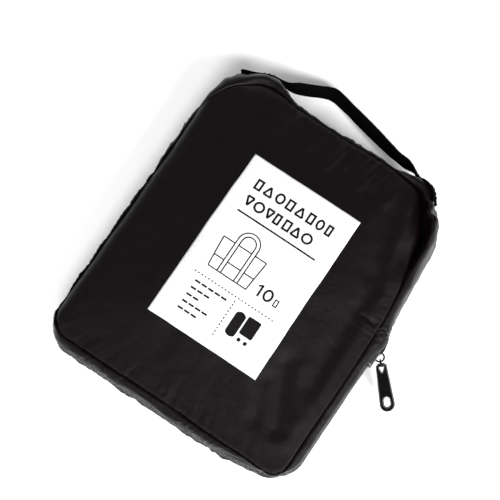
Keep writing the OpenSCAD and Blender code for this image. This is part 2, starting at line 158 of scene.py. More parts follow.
def grid_faces(rows, cols, wrap=False):
    """Quads of a grid stored row by row; wrap closes each row on itself."""
    last = cols if wrap else cols - 1
    return [
        (r * cols + c, r * cols + (c + 1) % cols, (r + 1) * cols + (c + 1) % cols, (r + 1) * cols + c)
        for r in range(rows - 1) for c in range(last)
    ]


def apply_modifiers(obj):
    """Bakes an object's modifiers into its mesh."""
    graph = bpy.context.evaluated_depsgraph_get()
    mesh = bpy.data.meshes.new_from_object(obj.evaluated_get(graph))
    obj.modifiers.clear()
    obj.data = mesh


def modify(obj, kind, **settings):
    """Adds a modifier with these settings and bakes it into the mesh."""
    mod = obj.modifiers.new(kind, kind)
    for key, value in settings.items():
        setattr(mod, key, value)
    apply_modifiers(obj)


def thicken(obj, thickness, offset=-1.0):
    """Gives a sheet its thickness in millimetres, inwards unless offset says otherwise."""
    modify(obj, "SOLIDIFY", thickness=thickness * MM, offset=offset, use_even_offset=False)
    shade_smooth(obj.data)


def edit_mesh(obj, *steps):
    """Runs bmesh steps, each a function of the bmesh, on an object's mesh."""
    bm = bmesh.new()
    bm.from_mesh(obj.data)
    for step in steps:
        step(bm)
    bm.to_mesh(obj.data)
    bm.free()


def ray_tree(obj):
    return BVHTree.FromObject(obj, bpy.context.evaluated_depsgraph_get())


def add_piece(obj, body, material, replaced=()):
    """Dresses a finished piece and fixes it to its body."""
    obj.data.materials.clear()
    obj.data.materials.append(material)
    if body:
        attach(obj, body)
    if replaced:
        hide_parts(*replaced)
    return obj


def tube(points, radius, sides=6):
    """Vertices and faces of a round tube along a list of points, closed at both ends."""
    pts = [Vector(p) for p in points]
    verts, faces = [], []
    up = Vector((0.0, 0.0, 1.0))
    for i, p in enumerate(pts):
        tangent = (pts[min(i + 1, len(pts) - 1)] - pts[max(i - 1, 0)]).normalized()
        if abs(tangent.dot(up)) > 0.95:
            up = Vector((1.0, 0.0, 0.0))
        side = tangent.cross(up).normalized()
        up = side.cross(tangent).normalized()
        for k in range(sides):
            a = 2 * math.pi * k / sides
            verts.append(p + radius * (math.cos(a) * side + math.sin(a) * up))
    for i in range(len(pts) - 1):
        for k in range(sides):
            n = (k + 1) % sides
            faces.append((i * sides + k, i * sides + n, (i + 1) * sides + n, (i + 1) * sides + k))
    faces.append(tuple(range(sides - 1, -1, -1)))
    faces.append(tuple((len(pts) - 1) * sides + k for k in range(sides)))
    return verts, faces


def joined(parts):
    """One list of vertices and faces from several."""
    verts, faces = [], []
    for v, f in parts:
        base = len(verts)
        verts.extend(v)
        faces.extend(tuple(i + base for i in face) for face in f)
    return verts, faces


def stitches(name, places, radius, arch, sink):
    """Thread stitches: each place is (start, end, outward normal), and each stitch a short arched tube."""
    parts = []
    for a, b, n in places:
        a, b, n = np.array(a, float), np.array(b, float), np.array(n, float)
        bows = [(t, arch * math.sin(math.pi * t) ** 0.6 - sink) for t in np.linspace(0, 1, 6)]
        line = [a + (b - a) * t + n * bow for t, bow in bows]
        parts.append(tube(line, radius))
    return make_mesh(name, *joined(parts))


# ---------------------------------------------------------------- outline of the pouch

def on_arc(centre, radius, degrees):
    """The point of a circle at an angle."""
    a = math.radians(degrees)
    return centre + radius * np.array([math.cos(a), math.sin(a)])


def straight(start, end, count):
    return [start + (end - start) * t for t in np.arange(count) / count]


def outline(grow, radii):
    """Points round a rounded rectangle, counter-clockwise from the middle of the right side.
    Every outline has the same number of points on each side and corner, so they match one to one."""
    w, h = HALF_W + grow, HALF_H + grow
    side_n, top_n, corner_n = (AROUND * share // 260 for share in (60, 48, 11))
    last_n = AROUND - 4 * corner_n - 2 * top_n - side_n - side_n // 2
    corners = ((1, 1, TR, side_n // 2), (-1, 1, TL, top_n), (-1, -1, BL, side_n), (1, -1, BR, top_n))
    pts = []
    start = np.array([w, 0.0])
    for k, (x_sign, y_sign, corner, count) in enumerate(corners):
        radius, turned = radii[corner], 90 * k
        centre = np.array([x_sign * (w - radius), y_sign * (h - radius)])
        pts += straight(start, on_arc(centre, radius, turned), count)
        pts += [on_arc(centre, radius, turned + 90 * t) for t in np.arange(corner_n) / corner_n]
        start = on_arc(centre, radius, turned + 90)
    return np.array(pts + straight(start, np.array([w, 0.0]), last_n))


def relaxed(points, rounds):
    """The closed outline after a few rounds of averaging, so that sides flow into corners."""
    for _ in range(rounds):
        points = (np.roll(points, 1, 0) + 2 * points + np.roll(points, -1, 0)) / 4
    return points


def normals_2d(points):
    d = np.roll(points, -1, 0) - np.roll(points, 1, 0)
    n = np.stack([d[:, 1], -d[:, 0]], 1)
    return n / np.linalg.norm(n, axis=1)[:, None]


def travelled(points):
    """Distance along a line at each of its points."""
    return np.concatenate([[0], np.cumsum(np.linalg.norm(np.diff(points, axis=0), axis=1))])


def slider_track(points):
    """1 where the slider runs, on the right side, and 0 elsewhere."""
    return step_up(points[:, 0], 58, 62) * step_up(points[:, 1], -78, -68)


def zip_outline():
    """The zipper's seam line: the CAD's line where the slider runs, softer and drawn in elsewhere."""
    pts = outline(0, ZIP_RADII)
    x, y = pts.T
    free = 1 - slider_track(pts)
    low_right = -5.4 * bump(pts, (66, -81), 18) * (1 - step_up(x, 60, 66) * step_up(y, -76, -66))
    low_left = -1.1 * bump(pts, (-68, -80), 13)
    left = -0.8 * step_up(-x, 58, 66) - 0.7 * step_up(-y, 70, 78) * free
    wave = 0.45 * flat_noise(pts, 24, 3) * free
    return pts + normals_2d(pts) * (low_right + low_left + left + wave)[:, None]


ZIP_LINE = zip_outline()
ZIP_NORMAL = normals_2d(ZIP_LINE)
RUN = travelled(ZIP_LINE)
SLIDER_RUN = slider_track(ZIP_LINE)
STITCH = 3.1                                    # length of a seam stitch


def calm_places():
    """Where the cloth is pulled smooth: up the left side, and on the right away from the joint."""
    x, y = ZIP_LINE.T
    left = step_up(-x, 46, 62) * (1 - step_up(-y, 70, 80))
    right = step_up(x, 56, 64) * (1 - bump(ZIP_LINE, (70, 10), 9)) * (1 - step_up(y, 50, 70))
    return left + 0.8 * right


def scallops():
    """How deep each stitch of the bottom seam draws the cloth in."""
    uneven = 0.55 + 0.9 * line_noise(RUN / 2.4, 1.0, 6)
    return (0.5 - 0.5 * np.cos(2 * math.pi * RUN / STITCH)) * uneven * step_up(-ZIP_LINE[:, 1], 40, 74)


CALM = calm_places()
PUCKER = line_noise(RUN / 5.2, 1.0, 4) * (1 - 0.7 * CALM)
PUCKER_FINE = line_noise(RUN / 2.4, 1.0, 6) * (1 - 0.6 * CALM)
SCALLOP = scallops()


def crest_outline():
    """Where the gusset bows out furthest: it holds the zipper's own line below the joints."""
    base = relaxed(outline(BOW, CREST_RADII), 6)
    zipper = ZIP_LINE + ZIP_NORMAL * BOW
    share = (1 - step_up(ZIP_LINE[:, 1], JOINT_Y - 2, JOINT_Y + 10))[:, None]
    pts = base * (1 - share) + zipper * share
    ears = bumps(pts, (6.0, -47.5, 85, 10.5), (3.4, 46, 86, 8), (-1.6, 59, 83, 7))
    ears += bumps(pts, (-2.8, 33, 86, 6.5), (-1.2, -30, 86, 6))
    pinch = bumps(pts, (-4.6, 71, 60, 22), (-0.8, 66, 74, 8), (-1.4, -69, 66, 12), (-0.8, 72, 30, 12))
    joints = bumps(pts, (-0.8, -72.5, JOINT_Y + 4, 7), (3.0, 73, 6, 7))
    wave = 0.75 * flat_noise(pts, 22, 3) * (1 - share[:, 0]) * (1 - bump(pts, (72, JOINT_Y), 12))
    return pts + normals_2d(pts) * (ears + pinch + joints + wave)[:, None]


def left_side(points, top, foot):
    """1 along the left side between two spans of y in which it fades, and 0 elsewhere."""
    x, y = points.T
    return step_up(-x, 60, 68) * (1 - step_up(y, *top)) * step_up(y, *foot)


def front_outline():
    """The front seam: hidden round the left edge, drawn in where the cloth gathers at the top right."""
    pts = relaxed(outline(0, FRONT_RADII), 5)
    x, y = pts.T
    top = step_up(y, 72, 80) * (1 - step_up(np.abs(x + 2), 30, 46))
    right = step_up(x, 60, 68) * (1 - step_up(y, 20, 40))
    shift = 2.0 * left_side(pts, (50, 66), (-80, -68)) + 1.6 * top - 0.9 * step_up(-y, 70, 80) - 0.5 * right
    ears = bumps(pts, (3.2, -46, 82, 10), (2.6, 46, 82, 8))
    pinch = bumps(pts, (-5.3, 66, 56, 20), (-1.6, 65, 42, 14), (-1.8, 56, 74, 9))
    wave = 0.4 * flat_noise(pts, 16, 8) + 0.6 * flat_noise(pts, 60, 5)
    return pts + normals_2d(pts) * (shift + ears + pinch + wave + 0.18 * PUCKER)[:, None]


def back_outline():
    pts = relaxed(outline(-SEAM_U, BACK_RADII), 6)
    return pts + normals_2d(pts) * (0.5 * flat_noise(pts, 22, 12))[:, None]


CREST = crest_outline()
CREST_N = normals_2d(CREST)
FRONT = front_outline()
BACK = back_outline()
VALLEY = bumps(FRONT, (1, 58, 64, 19), (0.3, -46, 80, 10))      # where the seam sinks between gathers


def front_seam_height():
    """Height of the front seam: lower round the left edge and at the gathered corners."""
    z = np.full(AROUND, RIM_Z - 0.4)
    z -= 6.0 * left_side(FRONT, (50, 66), (-80, -66))
    z -= 2.0 * step_up(FRONT[:, 1], 74, 81)
    z -= bumps(FRONT, (1.6, 60, 62, 24), (1.0, -63, -78, 12), (0.6, 66, -78, 9)) + 6.0 * VALLEY
    return z + 0.5 * flat_noise(FRONT, 30, 21)


SEAM_Z = front_seam_height()


# ---------------------------------------------------------------- materials

class Shader:
    """A Principled material and short calls that add nodes to it."""

    def __init__(self, name, color, roughness, **fixed):
        self.mat = bpy.data.materials.new(name)
        self.mat.use_nodes = True
        self.tree = self.mat.node_tree
        self.bsdf = self.tree.nodes["Principled BSDF"]
        self.bsdf.inputs["Base Color"].default_value = (*color, 1)
        self.bsdf.inputs["Roughness"].default_value = roughness
        for key, value in fixed.items():
            self.bsdf.inputs[key.replace("_", " ")].default_value = value
        self.height = None

    def node(self, kind, **settings):
        n = self.tree.nodes.new(kind)
        for key, value in settings.items():
            if key in n.inputs:
                n.inputs[key].default_value = value
            else:
                setattr(n, key, value)
        return n

    def link(self, a, b):
        self.tree.links.new(a, b)

    def noise(self, scale, detail, squeeze=()):
        """Noise in the object's own space. squeeze is three factors on its coordinates."""
        n = self.node("ShaderNodeTexNoise", Scale=scale, Detail=detail, Roughness=0.6)
        where = self.node("ShaderNodeTexCoord").outputs["Object"]
        if squeeze:
            m = self.node("ShaderNodeMapping", Scale=squeeze)
            self.link(where, m.inputs["Vector"])
            where = m.outputs["Vector"]
        self.link(where, n.inputs["Vector"])
        return n.outputs["Fac"]

    def waves(self, direction, period):
        """Parallel threads on the cloth, `period` millimetres apart."""
        n = self.node(
            "ShaderNodeTexWave", bands_direction=direction, Scale=0.314 / (period * MM),
            Distortion=0.6, Detail=1.0,
        )
        self.link(self.node("ShaderNodeTexCoord").outputs["UV"], n.inputs["Vector"])
        return n.outputs["Fac"]

    def math(self, operation, a, b):
        n = self.node("ShaderNodeMath", operation=operation)
        for slot, value in zip(n.inputs, (a, b)):
            if isinstance(value, (int, float)):
                slot.default_value = value
            else:
                self.link(value, slot)
        return n.outputs[0]

    def weave(self, period, strength):
        """Plain weave: two sets of threads crossing."""
        both = self.math("MULTIPLY", self.waves("X", period), self.waves("Y", period))
        self.raise_by(both, strength, period * 0.3)

    def raise_by(self, value, strength, distance):
        """Adds a bump layer on top of the earlier ones. distance is in millimetres."""
        n = self.node("ShaderNodeBump", Strength=strength, Distance=distance * MM)
        self.link(value, n.inputs["Height"])
        if self.height is not None:
            self.link(self.height, n.inputs["Normal"])
        self.height = n.outputs["Normal"]
        self.link(self.height, self.bsdf.inputs["Normal"])

    def tint(self, value, low, high, slot="Base Color"):
        """Runs a socket between two colours or numbers."""
        if slot == "Base Color":
            n = self.node("ShaderNodeMix", data_type="RGBA")
            self.link(value, n.inputs[0])
            n.inputs[6].default_value = (*low, 1)
            n.inputs[7].default_value = (*high, 1)
            self.link(n.outputs[2], self.bsdf.inputs[slot])
        else:
            n = self.node("ShaderNodeMapRange")
            self.link(value, n.inputs["Value"])
            n.inputs["To Min"].default_value = low
            n.inputs["To Max"].default_value = high
            self.link(n.outputs["Result"], self.bsdf.inputs[slot])


def shade(color, k):
    return tuple(min(1.0, c * k) for c in color)


def surface(name, color, roughness, tint, gloss=None, weave=None, relief=(), **fixed):
    """A material whose colour, roughness and relief vary.
    tint is (noise scale, detail, darkest, lightest), gloss is (scale, detail, least, most), weave is
    (period, strength), and each row of relief is (scale, detail, strength, height) and, if its noise
    is squeezed, three factors. Periods and heights are in millimetres."""
    m = Shader(name, color, roughness, **fixed)
    m.tint(m.noise(*tint[:2]), shade(color, tint[2]), shade(color, tint[3]))
    if gloss:
        m.tint(m.noise(*gloss[:2]), *gloss[2:], "Roughness")
    if weave:
        m.weave(*weave)
    for scale, detail, strength, height, *squeeze in relief:
        m.raise_by(m.noise(scale, detail, squeeze), strength, height)
    return m.mat


def nylon(name, color):
    return surface(
        name, color, 0.5, (55, 4, 0.75, 1.45), (140, 3, 0.33, 0.45), (0.36, 0.5),
        [(420, 3, 0.4, 0.3), (110, 3, 0.4, 0.6)], Specular_IOR_Level=0.09,
    )


def woven_tape(name, color, period, specular=0.06):
    return surface(
        name, color, 0.85, (300, 3, 0.6, 1.8), (500, 2, 0.72, 0.92), (period, 0.9),
        [(900, 3, 0.5, 0.25)], Specular_IOR_Level=specular,
    )


def slider_metal(name, color):
    return surface(
        name, color, 0.24, (700, 3, 0.6, 1.7), (1500, 3, 0.16, 0.36),
        relief=[(1200, 2, 0.1, 0.04)], Metallic=1.0, Coat_Weight=0.1, Coat_Roughness=0.1,
    )


def pull_enamel():
    """Black enamel, with a painted highlight on the tab's rounded edges, a little stronger on its right
    where the key light falls.
    """
    color = (0.0006, 0.0006, 0.00066)
    m = Shader("pull_enamel", color, 0.14, Specular_IOR_Level=0.03)
    facing = m.node("ShaderNodeVectorMath", operation="DOT_PRODUCT")
    # Painted highlight: where the surface normal turns away from this axis (the tab's face normal, leaned 10
    # degrees), the colour runs lighter, so the rounded edges look lit, the right one more than the left.
    lean = math.radians(10)
    painted_highlight_axis = tab_frame().col[2] * math.cos(lean) - tab_frame().col[1] * math.sin(lean)
    facing.inputs[1].default_value = painted_highlight_axis[:3]
    m.link(m.node("ShaderNodeTexCoord").outputs["Normal"], facing.inputs[0])
    flat = m.math("POWER", m.math("ABSOLUTE", facing.outputs["Value"], 0), 40.0)
    m.tint(m.math("MULTIPLY", flat, 3.0), shade(color, 120), color)
    m.tint(m.noise(900, 3), 0.12, 0.24, "Roughness")
    m.raise_by(m.noise(700, 2), 0.06, 0.05)
    return m.mat


NYLON = nylon("nylon_shell", (0.0016, 0.0007, 0.0009))
TOTE_NYLON = nylon("tote_nylon", (0.0075, 0.0062, 0.0068))
STRAP_TAPE = woven_tape("strap_tape", (0.0011, 0.001, 0.0011), 0.8, 0.012)
ZIP_TAPE = woven_tape("zipper_tape", (0.0045, 0.0042, 0.0045), 0.45)
BINDING = woven_tape("binding_tape", (0.004, 0.0038, 0.004), 0.5)
WEBBING = woven_tape("tote_webbing", (0.0045, 0.0042, 0.0045), 0.8)
COIL = surface(
    "coil_nylon", (0.012, 0.012, 0.0125), 0.42, (600, 2, 0.8, 1.6), (900, 2, 0.35, 0.52),
    relief=[(2500, 2, 0.15, 0.05)], Specular_IOR_Level=0.5,
)
THREAD = surface(
    "black_thread", (0.0015, 0.0013, 0.0014), 0.7, (1500, 2, 0.7, 2.2),
    relief=[(3000, 2, 0.4, 0.06, 1, 1, 3)], Specular_IOR_Level=0.05,
)
WHITE_THREAD = surface(
    "white_thread", (0.52, 0.52, 0.515), 0.7, (1500, 2, 0.85, 1.08),
    relief=[(3000, 2, 0.3, 0.05)], Specular_IOR_Level=0.35,
)
LABEL_CLOTH = surface(
    "label_cloth", (0.548, 0.548, 0.552), 0.55, (90, 4, 0.96, 1.03), (300, 2, 0.48, 0.66), (0.3, 0.12),
    [(160, 4, 0.15, 0.3)], Specular_IOR_Level=0.35, Sheen_Weight=0.05,
)
INK = surface(
    "label_ink", (0.003, 0.0026, 0.0026), 0.6, (900, 3, 0.8, 2.4),
    relief=[(1800, 2, 0.2, 0.03)], Specular_IOR_Level=0.05,
)
METAL = slider_metal("slider_metal", (0.09, 0.09, 0.093))
WIRE = slider_metal("bail_metal", (0.007, 0.007, 0.0075))


# ---------------------------------------------------------------- pouch panels

FRONT_RINGS, BACK_RINGS = 70, 40


def panel_rings(rings, power):
    """Sizes of the rings from the middle of a panel to its edge, closer together near the edge."""
    share = (np.arange(rings) / (rings - 1)) ** power
    share[0] = 0.012
    return share


SHOULDER_Z = RIM_Z + 0.7
PANEL_MID = np.array([0.0, 2.0])


def front_base(share):
    """One ring of the front panel before its folds: it rounds up from the seam into a low crown."""
    xy = PANEL_MID + (FRONT - PANEL_MID) * share
    inward = np.linalg.norm(FRONT - xy, axis=1)
    z = SEAM_Z + (SHOULDER_Z - SEAM_Z) * (1 - np.exp(-inward / 2.6))
    z += (TOP_Z - 0.4 - SHOULDER_Z) * (1 - share ** 2)
    return xy, z, inward


def closed_body():
    """The pouch as one coarse closed skin, from the middle of its back to the middle of its front."""
    every = 4
    rows = [np.c_[BACK * k, np.full(AROUND, 0.6)] for k in (0.03, 0.25, 0.5, 0.75, 0.94)]
    rows += [np.c_[BACK, np.full(AROUND, FOOT_Z)], np.c_[CREST, np.full(AROUND, MID_Z)]]
    for k in (1.0, 0.97, 0.9, 0.8, 0.65, 0.45, 0.25, 0.03):
        xy, z, _ = front_base(k)
        rows.append(np.c_[xy, z])
    rows = [r[::every] for r in rows]
    count = len(rows[0])
    faces = grid_faces(len(rows), count, True)
    faces += [tuple(range(count))[::-1], tuple((len(rows) - 1) * count + k for k in range(count))]
    return make_mesh("body_skin", np.concatenate(rows), faces)


def softened(grid):
    """One round of averaging each inner place of a grid with its four neighbours, in place."""
    around = grid[:-2, 1:-1] + grid[2:, 1:-1] + grid[1:-1, :-2] + grid[1:-1, 2:]
    grid[1:-1, 1:-1] = (4 * grid[1:-1, 1:-1] + around) / 8
    return grid


def top_heights(obj, xs, ys):
    """Heights of an object's top over a grid of places."""
    gx, gy = np.meshgrid(xs, ys)
    return surface_height(obj, np.c_[gx.ravel(), gy.ravel()]).reshape(gx.shape)


def blow_up(skin):
    """Runs the cloth simulation on the skin, held at its front seam and over its back half."""
    held = skin.vertex_groups.new(name="held")
    seam = np.c_[FRONT, SEAM_Z]
    for v in skin.data.vertices:
        p = np.array(v.co) / MM
        if p[2] < MID_Z + 3 or np.min(np.linalg.norm(seam - p, axis=1)) < 2.6:
            held.add([v.index], 1.0, "REPLACE")
    cloth = skin.modifiers.new("cloth", "CLOTH")
    settings = dict(
        quality=6, mass=0.12, tension_stiffness=12, compression_stiffness=12, shear_stiffness=4,
        bending_stiffness=0.25, air_damping=3, use_pressure=True, uniform_pressure_force=4,
        shrink_min=-0.022, vertex_group_mass="held", pin_stiffness=1,
    )
    for key, value in settings.items():
        setattr(cloth.settings, key, value)
    cloth.settings.effector_weights.gravity = 0
    cloth.collision_settings.use_collision = False
    for frame_number in range(1, 21):
        bpy.context.scene.frame_set(frame_number)
    apply_modifiers(skin)
    bpy.context.scene.frame_set(1)


def swell(cap=2.6):
    """Blows up a remeshed copy of the pouch as cloth held at its seams, and returns how far the front
    moved, as a grid of heights in millimetres with the grid's x and y places."""
    xs, ys = np.arange(-78, 78.1, 2.0), np.arange(-90, 94.1, 2.0)
    skin = closed_body()
    modify(skin, "REMESH", mode="VOXEL", voxel_size=4.0 * MM)
    before = top_heights(skin, xs, ys)
    blow_up(skin)
    modify(skin, "SUBSURF", levels=1)
    moved = top_heights(skin, xs, ys) - before
    bpy.data.objects.remove(skin)
    moved = np.where(np.isfinite(moved), moved, 0.0)
    moved -= np.median(moved[30:60, 20:58])
    moved = 0.75 * cap * np.tanh(moved / cap)
    return softened(softened(moved)), xs, ys


def at_places(grid, xs, ys, points):
    """Bilinear reading of a grid at each point."""
    fx = np.clip((points[:, 0] - xs[0]) / (xs[1] - xs[0]), 0, len(xs) - 1.001)
    fy = np.clip((points[:, 1] - ys[0]) / (ys[1] - ys[0]), 0, len(ys) - 1.001)
    i, j = fx.astype(int), fy.astype(int)
    a, b = fx - i, fy - j
    return (
        grid[j, i] * (1 - a) * (1 - b) + grid[j, i + 1] * a * (1 - b)
        + grid[j + 1, i] * (1 - a) * b + grid[j + 1, i + 1] * a * b
    )


def front_panel():
    """The front cloth: the crown, the simulated swelling, the puckers at the seam and the folds."""
    verts, edge = [], []
    for share in panel_rings(FRONT_RINGS, 0.72):
        xy, z, inward = front_base(share)
        fade = np.exp(-inward / 6.0) * (1 - np.exp(-inward / 1.2))
        z += fade * (0.6 * PUCKER + 0.35 * PUCKER_FINE)
        z -= (0.7 + 1.1 * SCALLOP) * np.exp(-inward / 0.8) + 1.0 * VALLEY * np.exp(-inward / 2.2)
        verts.append(np.c_[xy, z])
        edge.append(1 - np.exp(-inward / 2.5))
    verts, edge = np.concatenate(verts), np.concatenate(edge)
    moved, xs, ys = swell()
    verts[:, 2] += at_places(moved, xs, ys, verts) * edge
    verts[:, 2] += front_folds(verts)
    return panel("front_panel_cloth", verts, FRONT_RINGS, 1)


def panel(name, verts, rings, side):
    """A cloth of rings, closed in its middle, that faces up (side 1) or down (side -1)."""
    faces = grid_faces(rings, AROUND, True) + [tuple(range(AROUND))[::-1]]
    obj = make_mesh(name, verts, faces, verts[:, :2])
    flip_to(obj, Vector((0, 0, side)))
    return obj


def ridge(points, a, b, width):
    """A fold along the line from a to b: 1 on the line, fading to each side and at its ends."""
    a, b = np.array(a, float), np.array(b, float)
    d = b - a
    length = np.linalg.norm(d)
    d /= length
    along = (points[:, :2] - a) @ d
    across = (points[:, :2] - a) @ np.array([-d[1], d[0]])
    ends = step_up(along, -width, width) * (1 - step_up(along, length - width, length + width))
    return np.exp(-(across / width) ** 2) * ends


FOLDS = (                                       # height, from, to, width
    (0.3, (-40, 74), (-60, 58), 4.0), (-0.8, (49, 79), (60, 44), 2.6), (0.8, (47, 74), (58, 30), 3.6),
    (-0.5, (40, 66), (50, 30), 5), (-0.6, (66, 10.5), (58, 11.5), 1.3), (0.8, (61, 40), (63, -66), 4.5),
    (-0.6, (53, 34), (55, -40), 5), (0.25, (50, 26), (57, 16), 3.5), (-1.2, (37, -28), (55, -64), 4.5),
    (0.7, (47, -24), (62, -56), 4.5), (-0.7, (34, -40), (44, -66), 4.5),
)
TOP_TUCKS = (-30, -24, -9, 4, 13, 22, 31, 38)   # places of the short folds under the top seam


def front_folds(v):
    """Soft undulations and the creases that run in from the corners and edges."""
    flat = np.c_[v[:, :2], np.zeros(len(v))]
    inside = step_up(-np.maximum(np.abs(v[:, 0]) - HALF_W, np.abs(v[:, 1]) - HALF_H), 0.5, 9)
    z = 0.5 * smooth_noise(flat, 46, 31) + 0.12 * smooth_noise(flat, 6, 35)
    z = (z + 0.2 * smooth_noise(flat * np.array([1, 0.5, 1]), 15, 33)) * inside
    for height, start, end, width in FOLDS:
        z += height * ridge(v, start, end, width)
    for k, x in enumerate(TOP_TUCKS):
        z += (0.5 if k % 2 else -0.45) * ridge(v, (x, 79), (x - 3 + k % 3, 64), 2.1)
    return z


def back_panel():
    """The flat back: it lies on the surface and rounds up at its edge."""
    verts = []
    for share in panel_rings(BACK_RINGS, 0.8):
        xy = BACK * share
        inward = np.linalg.norm(BACK - xy, axis=1)
        z = 0.45 + FOOT_Z * np.exp(-inward / 2.5)
        z += 0.35 * np.abs(flat_noise(xy, 14, 41)) * (1 - np.exp(-inward / 3))
        z += 0.5 * np.exp(-inward / 5) * np.abs(PUCKER)
        verts.append(np.c_[xy, z])
    return panel("back_panel_cloth", np.concatenate(verts), BACK_RINGS, -1)


def flip_to(obj, direction):
    """Turns the faces so that they look along direction on the whole."""
    total = Vector((0, 0, 0))
    for p in obj.data.polygons:
        total += p.normal * p.area
    if total.dot(direction) < 0:
        obj.data.flip_normals()


# ---------------------------------------------------------------- gusset

# How the gusset's cloth lies at each sample: how far it stands out, where it gathers into close
# wrinkles, where it is smooth, and where its wrinkles all lean one way.
PUFF = 0.75 - 0.45 * step_up(-CREST[:, 0], 62, 70) + 0.15 * SLIDER_RUN
GATHER = bumps(CREST, (1, 61, 75, 11), (0.25, -44, 88, 10))
SMOOTH = step_up(CREST[:, 0], 60, 66) * (1 - bump(CREST, (61, 75), 13)) + 0.8 * bump(CREST, (-38, 88), 13)
SLANT = step_up(-CREST[:, 1], 66, 78)
JOINT_ROWS = (1.3, 4.0)                         # the joint's stitch rows, from its edge


def gusset_section(j, rows, front, hem_z, hem_u):
    """Cross-section of one gusset half at sample j, from the seam to its hem, as (point, row share)."""
    seam_xy = FRONT[j] if front else BACK[j]
    seam_z = SEAM_Z[j] if front else FOOT_Z
    hem_xy = CREST[j] + CREST_N[j] * (hem_u - BOW)
    sign = 1 if front else -1
    drop = abs(hem_z - seam_z)
    out = []
    for r in range(rows + 1):
        t = r / rows
        across = 1 - (1 - t) ** 2.3
        down = t ** 1.35
        puff = math.sin(math.pi * min(1.0, t ** 0.8)) * (1.0 + 0.35 * PUCKER[j] * (1 - t))
        roll = math.sin(math.pi * min(1.0, t / 0.55)) if t < 0.55 else 0.0
        xy = seam_xy + (hem_xy - seam_xy) * across + CREST_N[j] * puff * PUFF[j]
        z = seam_z + (hem_z - seam_z) * down
        dip = (0.7 + 1.0 * SCALLOP[j] + (VALLEY[j] if front else 0.0)) * math.exp(-t * drop / 0.7)
        swell_up = 0.5 + 0.5 * PUCKER[j] + 0.35 * PUCKER_FINE[j]
        rise = math.sin(math.pi * min(1.0, max(0.0, (t - 0.06) / 0.64)) ** 0.75)
        z += sign * (roll * swell_up - dip) + (9.5 * VALLEY[j] * rise if front else 0.0)
        out.append((np.array([*xy, z]), t))
    return out


def cloth_wave(j, t, z, seed, size):
    """Soft waves of the gusset cloth and the slanting wrinkles across it, none at its edges."""
    lean = noise.noise(Vector((RUN[j] / 30, seed, 0))) * 0.8
    run = RUN[j] + (lean - 0.9 * SLANT[j]) * z
    big = noise.noise(Vector((RUN[j] / 10, z / 7, seed)))
    wrinkle = noise.noise(Vector((run / 3.8, z / 14, seed + 5)))
    small = noise.noise(Vector((run / 2.1, z / 5, seed + 9)))
    gathered = (1 + 1.3 * GATHER[j] + 0.6 * SLANT[j]) * (1 - 0.75 * SMOOTH[j])
    wave = 0.8 * big * (1 - 0.5 * SMOOTH[j]) + (0.85 * wrinkle + 0.3 * small) * gathered
    return wave * size * math.sin(math.pi * min(t, 1.0)) ** 0.7


def gusset_strip(name, samples, front, rows=20):
    """One half of the gusset beside the zipper: a puffed band whose hem is turned under."""
    columns = []
    sign = 1 if front else -1
    for j in samples:
        free = 1 - SLIDER_RUN[j]
        hem_z = MID_Z + sign * (STRIP_HALF - 0.7 * free)
        line = []
        for p, t in gusset_section(j, rows, front, hem_z, BOW + 0.3 * free):
            p[:2] += CREST_N[j] * cloth_wave(j, t, p[2], 51, 0.85)
            line.append(p)
        for inward, rise in ((0.45, -0.12), (0.95, 0.2), (1.1, 2.4)):
            line.append(line[rows] + np.array([*(-CREST_N[j] * inward), sign * rise]))
        columns.append(line)
    return lofted(name, columns, samples, 0.5)


def upper_gusset(samples, rows=22):
    """The plain gusset over the top: one puffed band from the front seam to the back seam."""
    columns = []
    for j in samples:
        front, back = (gusset_section(j, rows, side, MID_Z, BOW) for side in (True, False))
        above = CREST[j][1] - JOINT_Y
        edge = step_up(abs(above), 0, 8)
        sewn = sum(math.exp(-((above - row) / 0.85) ** 2) for row in JOINT_ROWS)
        line = []
        for p, t in front + back[-2::-1]:
            p[:2] += CREST_N[j] * cloth_wave(j, 1.2 * t * (1 - t / 2), p[2], 53, 1.1) * edge
            p[:2] += CREST_N[j] * (0.5 * (1 - step_up(above, 4.5, 9)) - 1.6 * sewn)
            line.append(p)
        columns.append(line)
    return lofted("upper_gusset_cloth", columns, samples, 0.6)


def lofted(name, columns, samples, pitch):
    """A gusset cloth from its cross-sections, one at each sample."""
    rows = len(columns[0])
    verts = [column[r] for r in range(rows) for column in columns]
    uv = [(RUN[j], r * pitch) for r in range(rows) for j in samples]
    return finish_gusset(make_mesh(name, verts, grid_faces(rows, len(samples)), uv))


def finish_gusset(obj):
    """Turns a cloth's faces outwards and gives it its thickness."""
    total = sum(p.normal.dot(Vector((p.center.x, p.center.y, 0))) * p.area for p in obj.data.polygons)
    if total < 0:
        obj.data.flip_normals()
    thicken(obj, 0.4)
    return obj


def run_samples():
    """Sample numbers over the top and along the zipper (left joint, bottom, right joint)."""
    top, zipper = [], []
    j = next(j for j in range(AROUND) if ZIP_LINE[j][1] >= JOINT_Y)
    while ZIP_LINE[j % AROUND][1] >= JOINT_Y - 0.2:
        top.append(j % AROUND)
        j += 1
    while ZIP_LINE[j % AROUND][1] < JOINT_Y + 0.2:
        zipper.append(j % AROUND)
        j += 1
    return top, [top[-1]] + zipper + [top[0]]


TOP_RUN, ZIP_RUN = run_samples()


# ---------------------------------------------------------------- zipper

def zip_path(step, y_end=None):
    """Places along the zipper from its left end round to the right, with the outward normals and the
    distances travelled."""
    pts = ZIP_LINE[ZIP_RUN]
    if y_end is not None:
        pts = pts[pts[:, 1] <= y_end]
        pts[0][1] = pts[-1][1] = y_end
    dist = travelled(pts)
    s = np.linspace(0, dist[-1], int(dist[-1] / step) + 1)
    xy = np.stack([np.interp(s, dist, pts[:, k]) for k in (0, 1)], 1)
    d = np.gradient(xy, axis=0)
    normal = np.stack([d[:, 1], -d[:, 0]], 1)
    normal /= np.linalg.norm(normal, axis=1)[:, None]
    return xy, normal, s


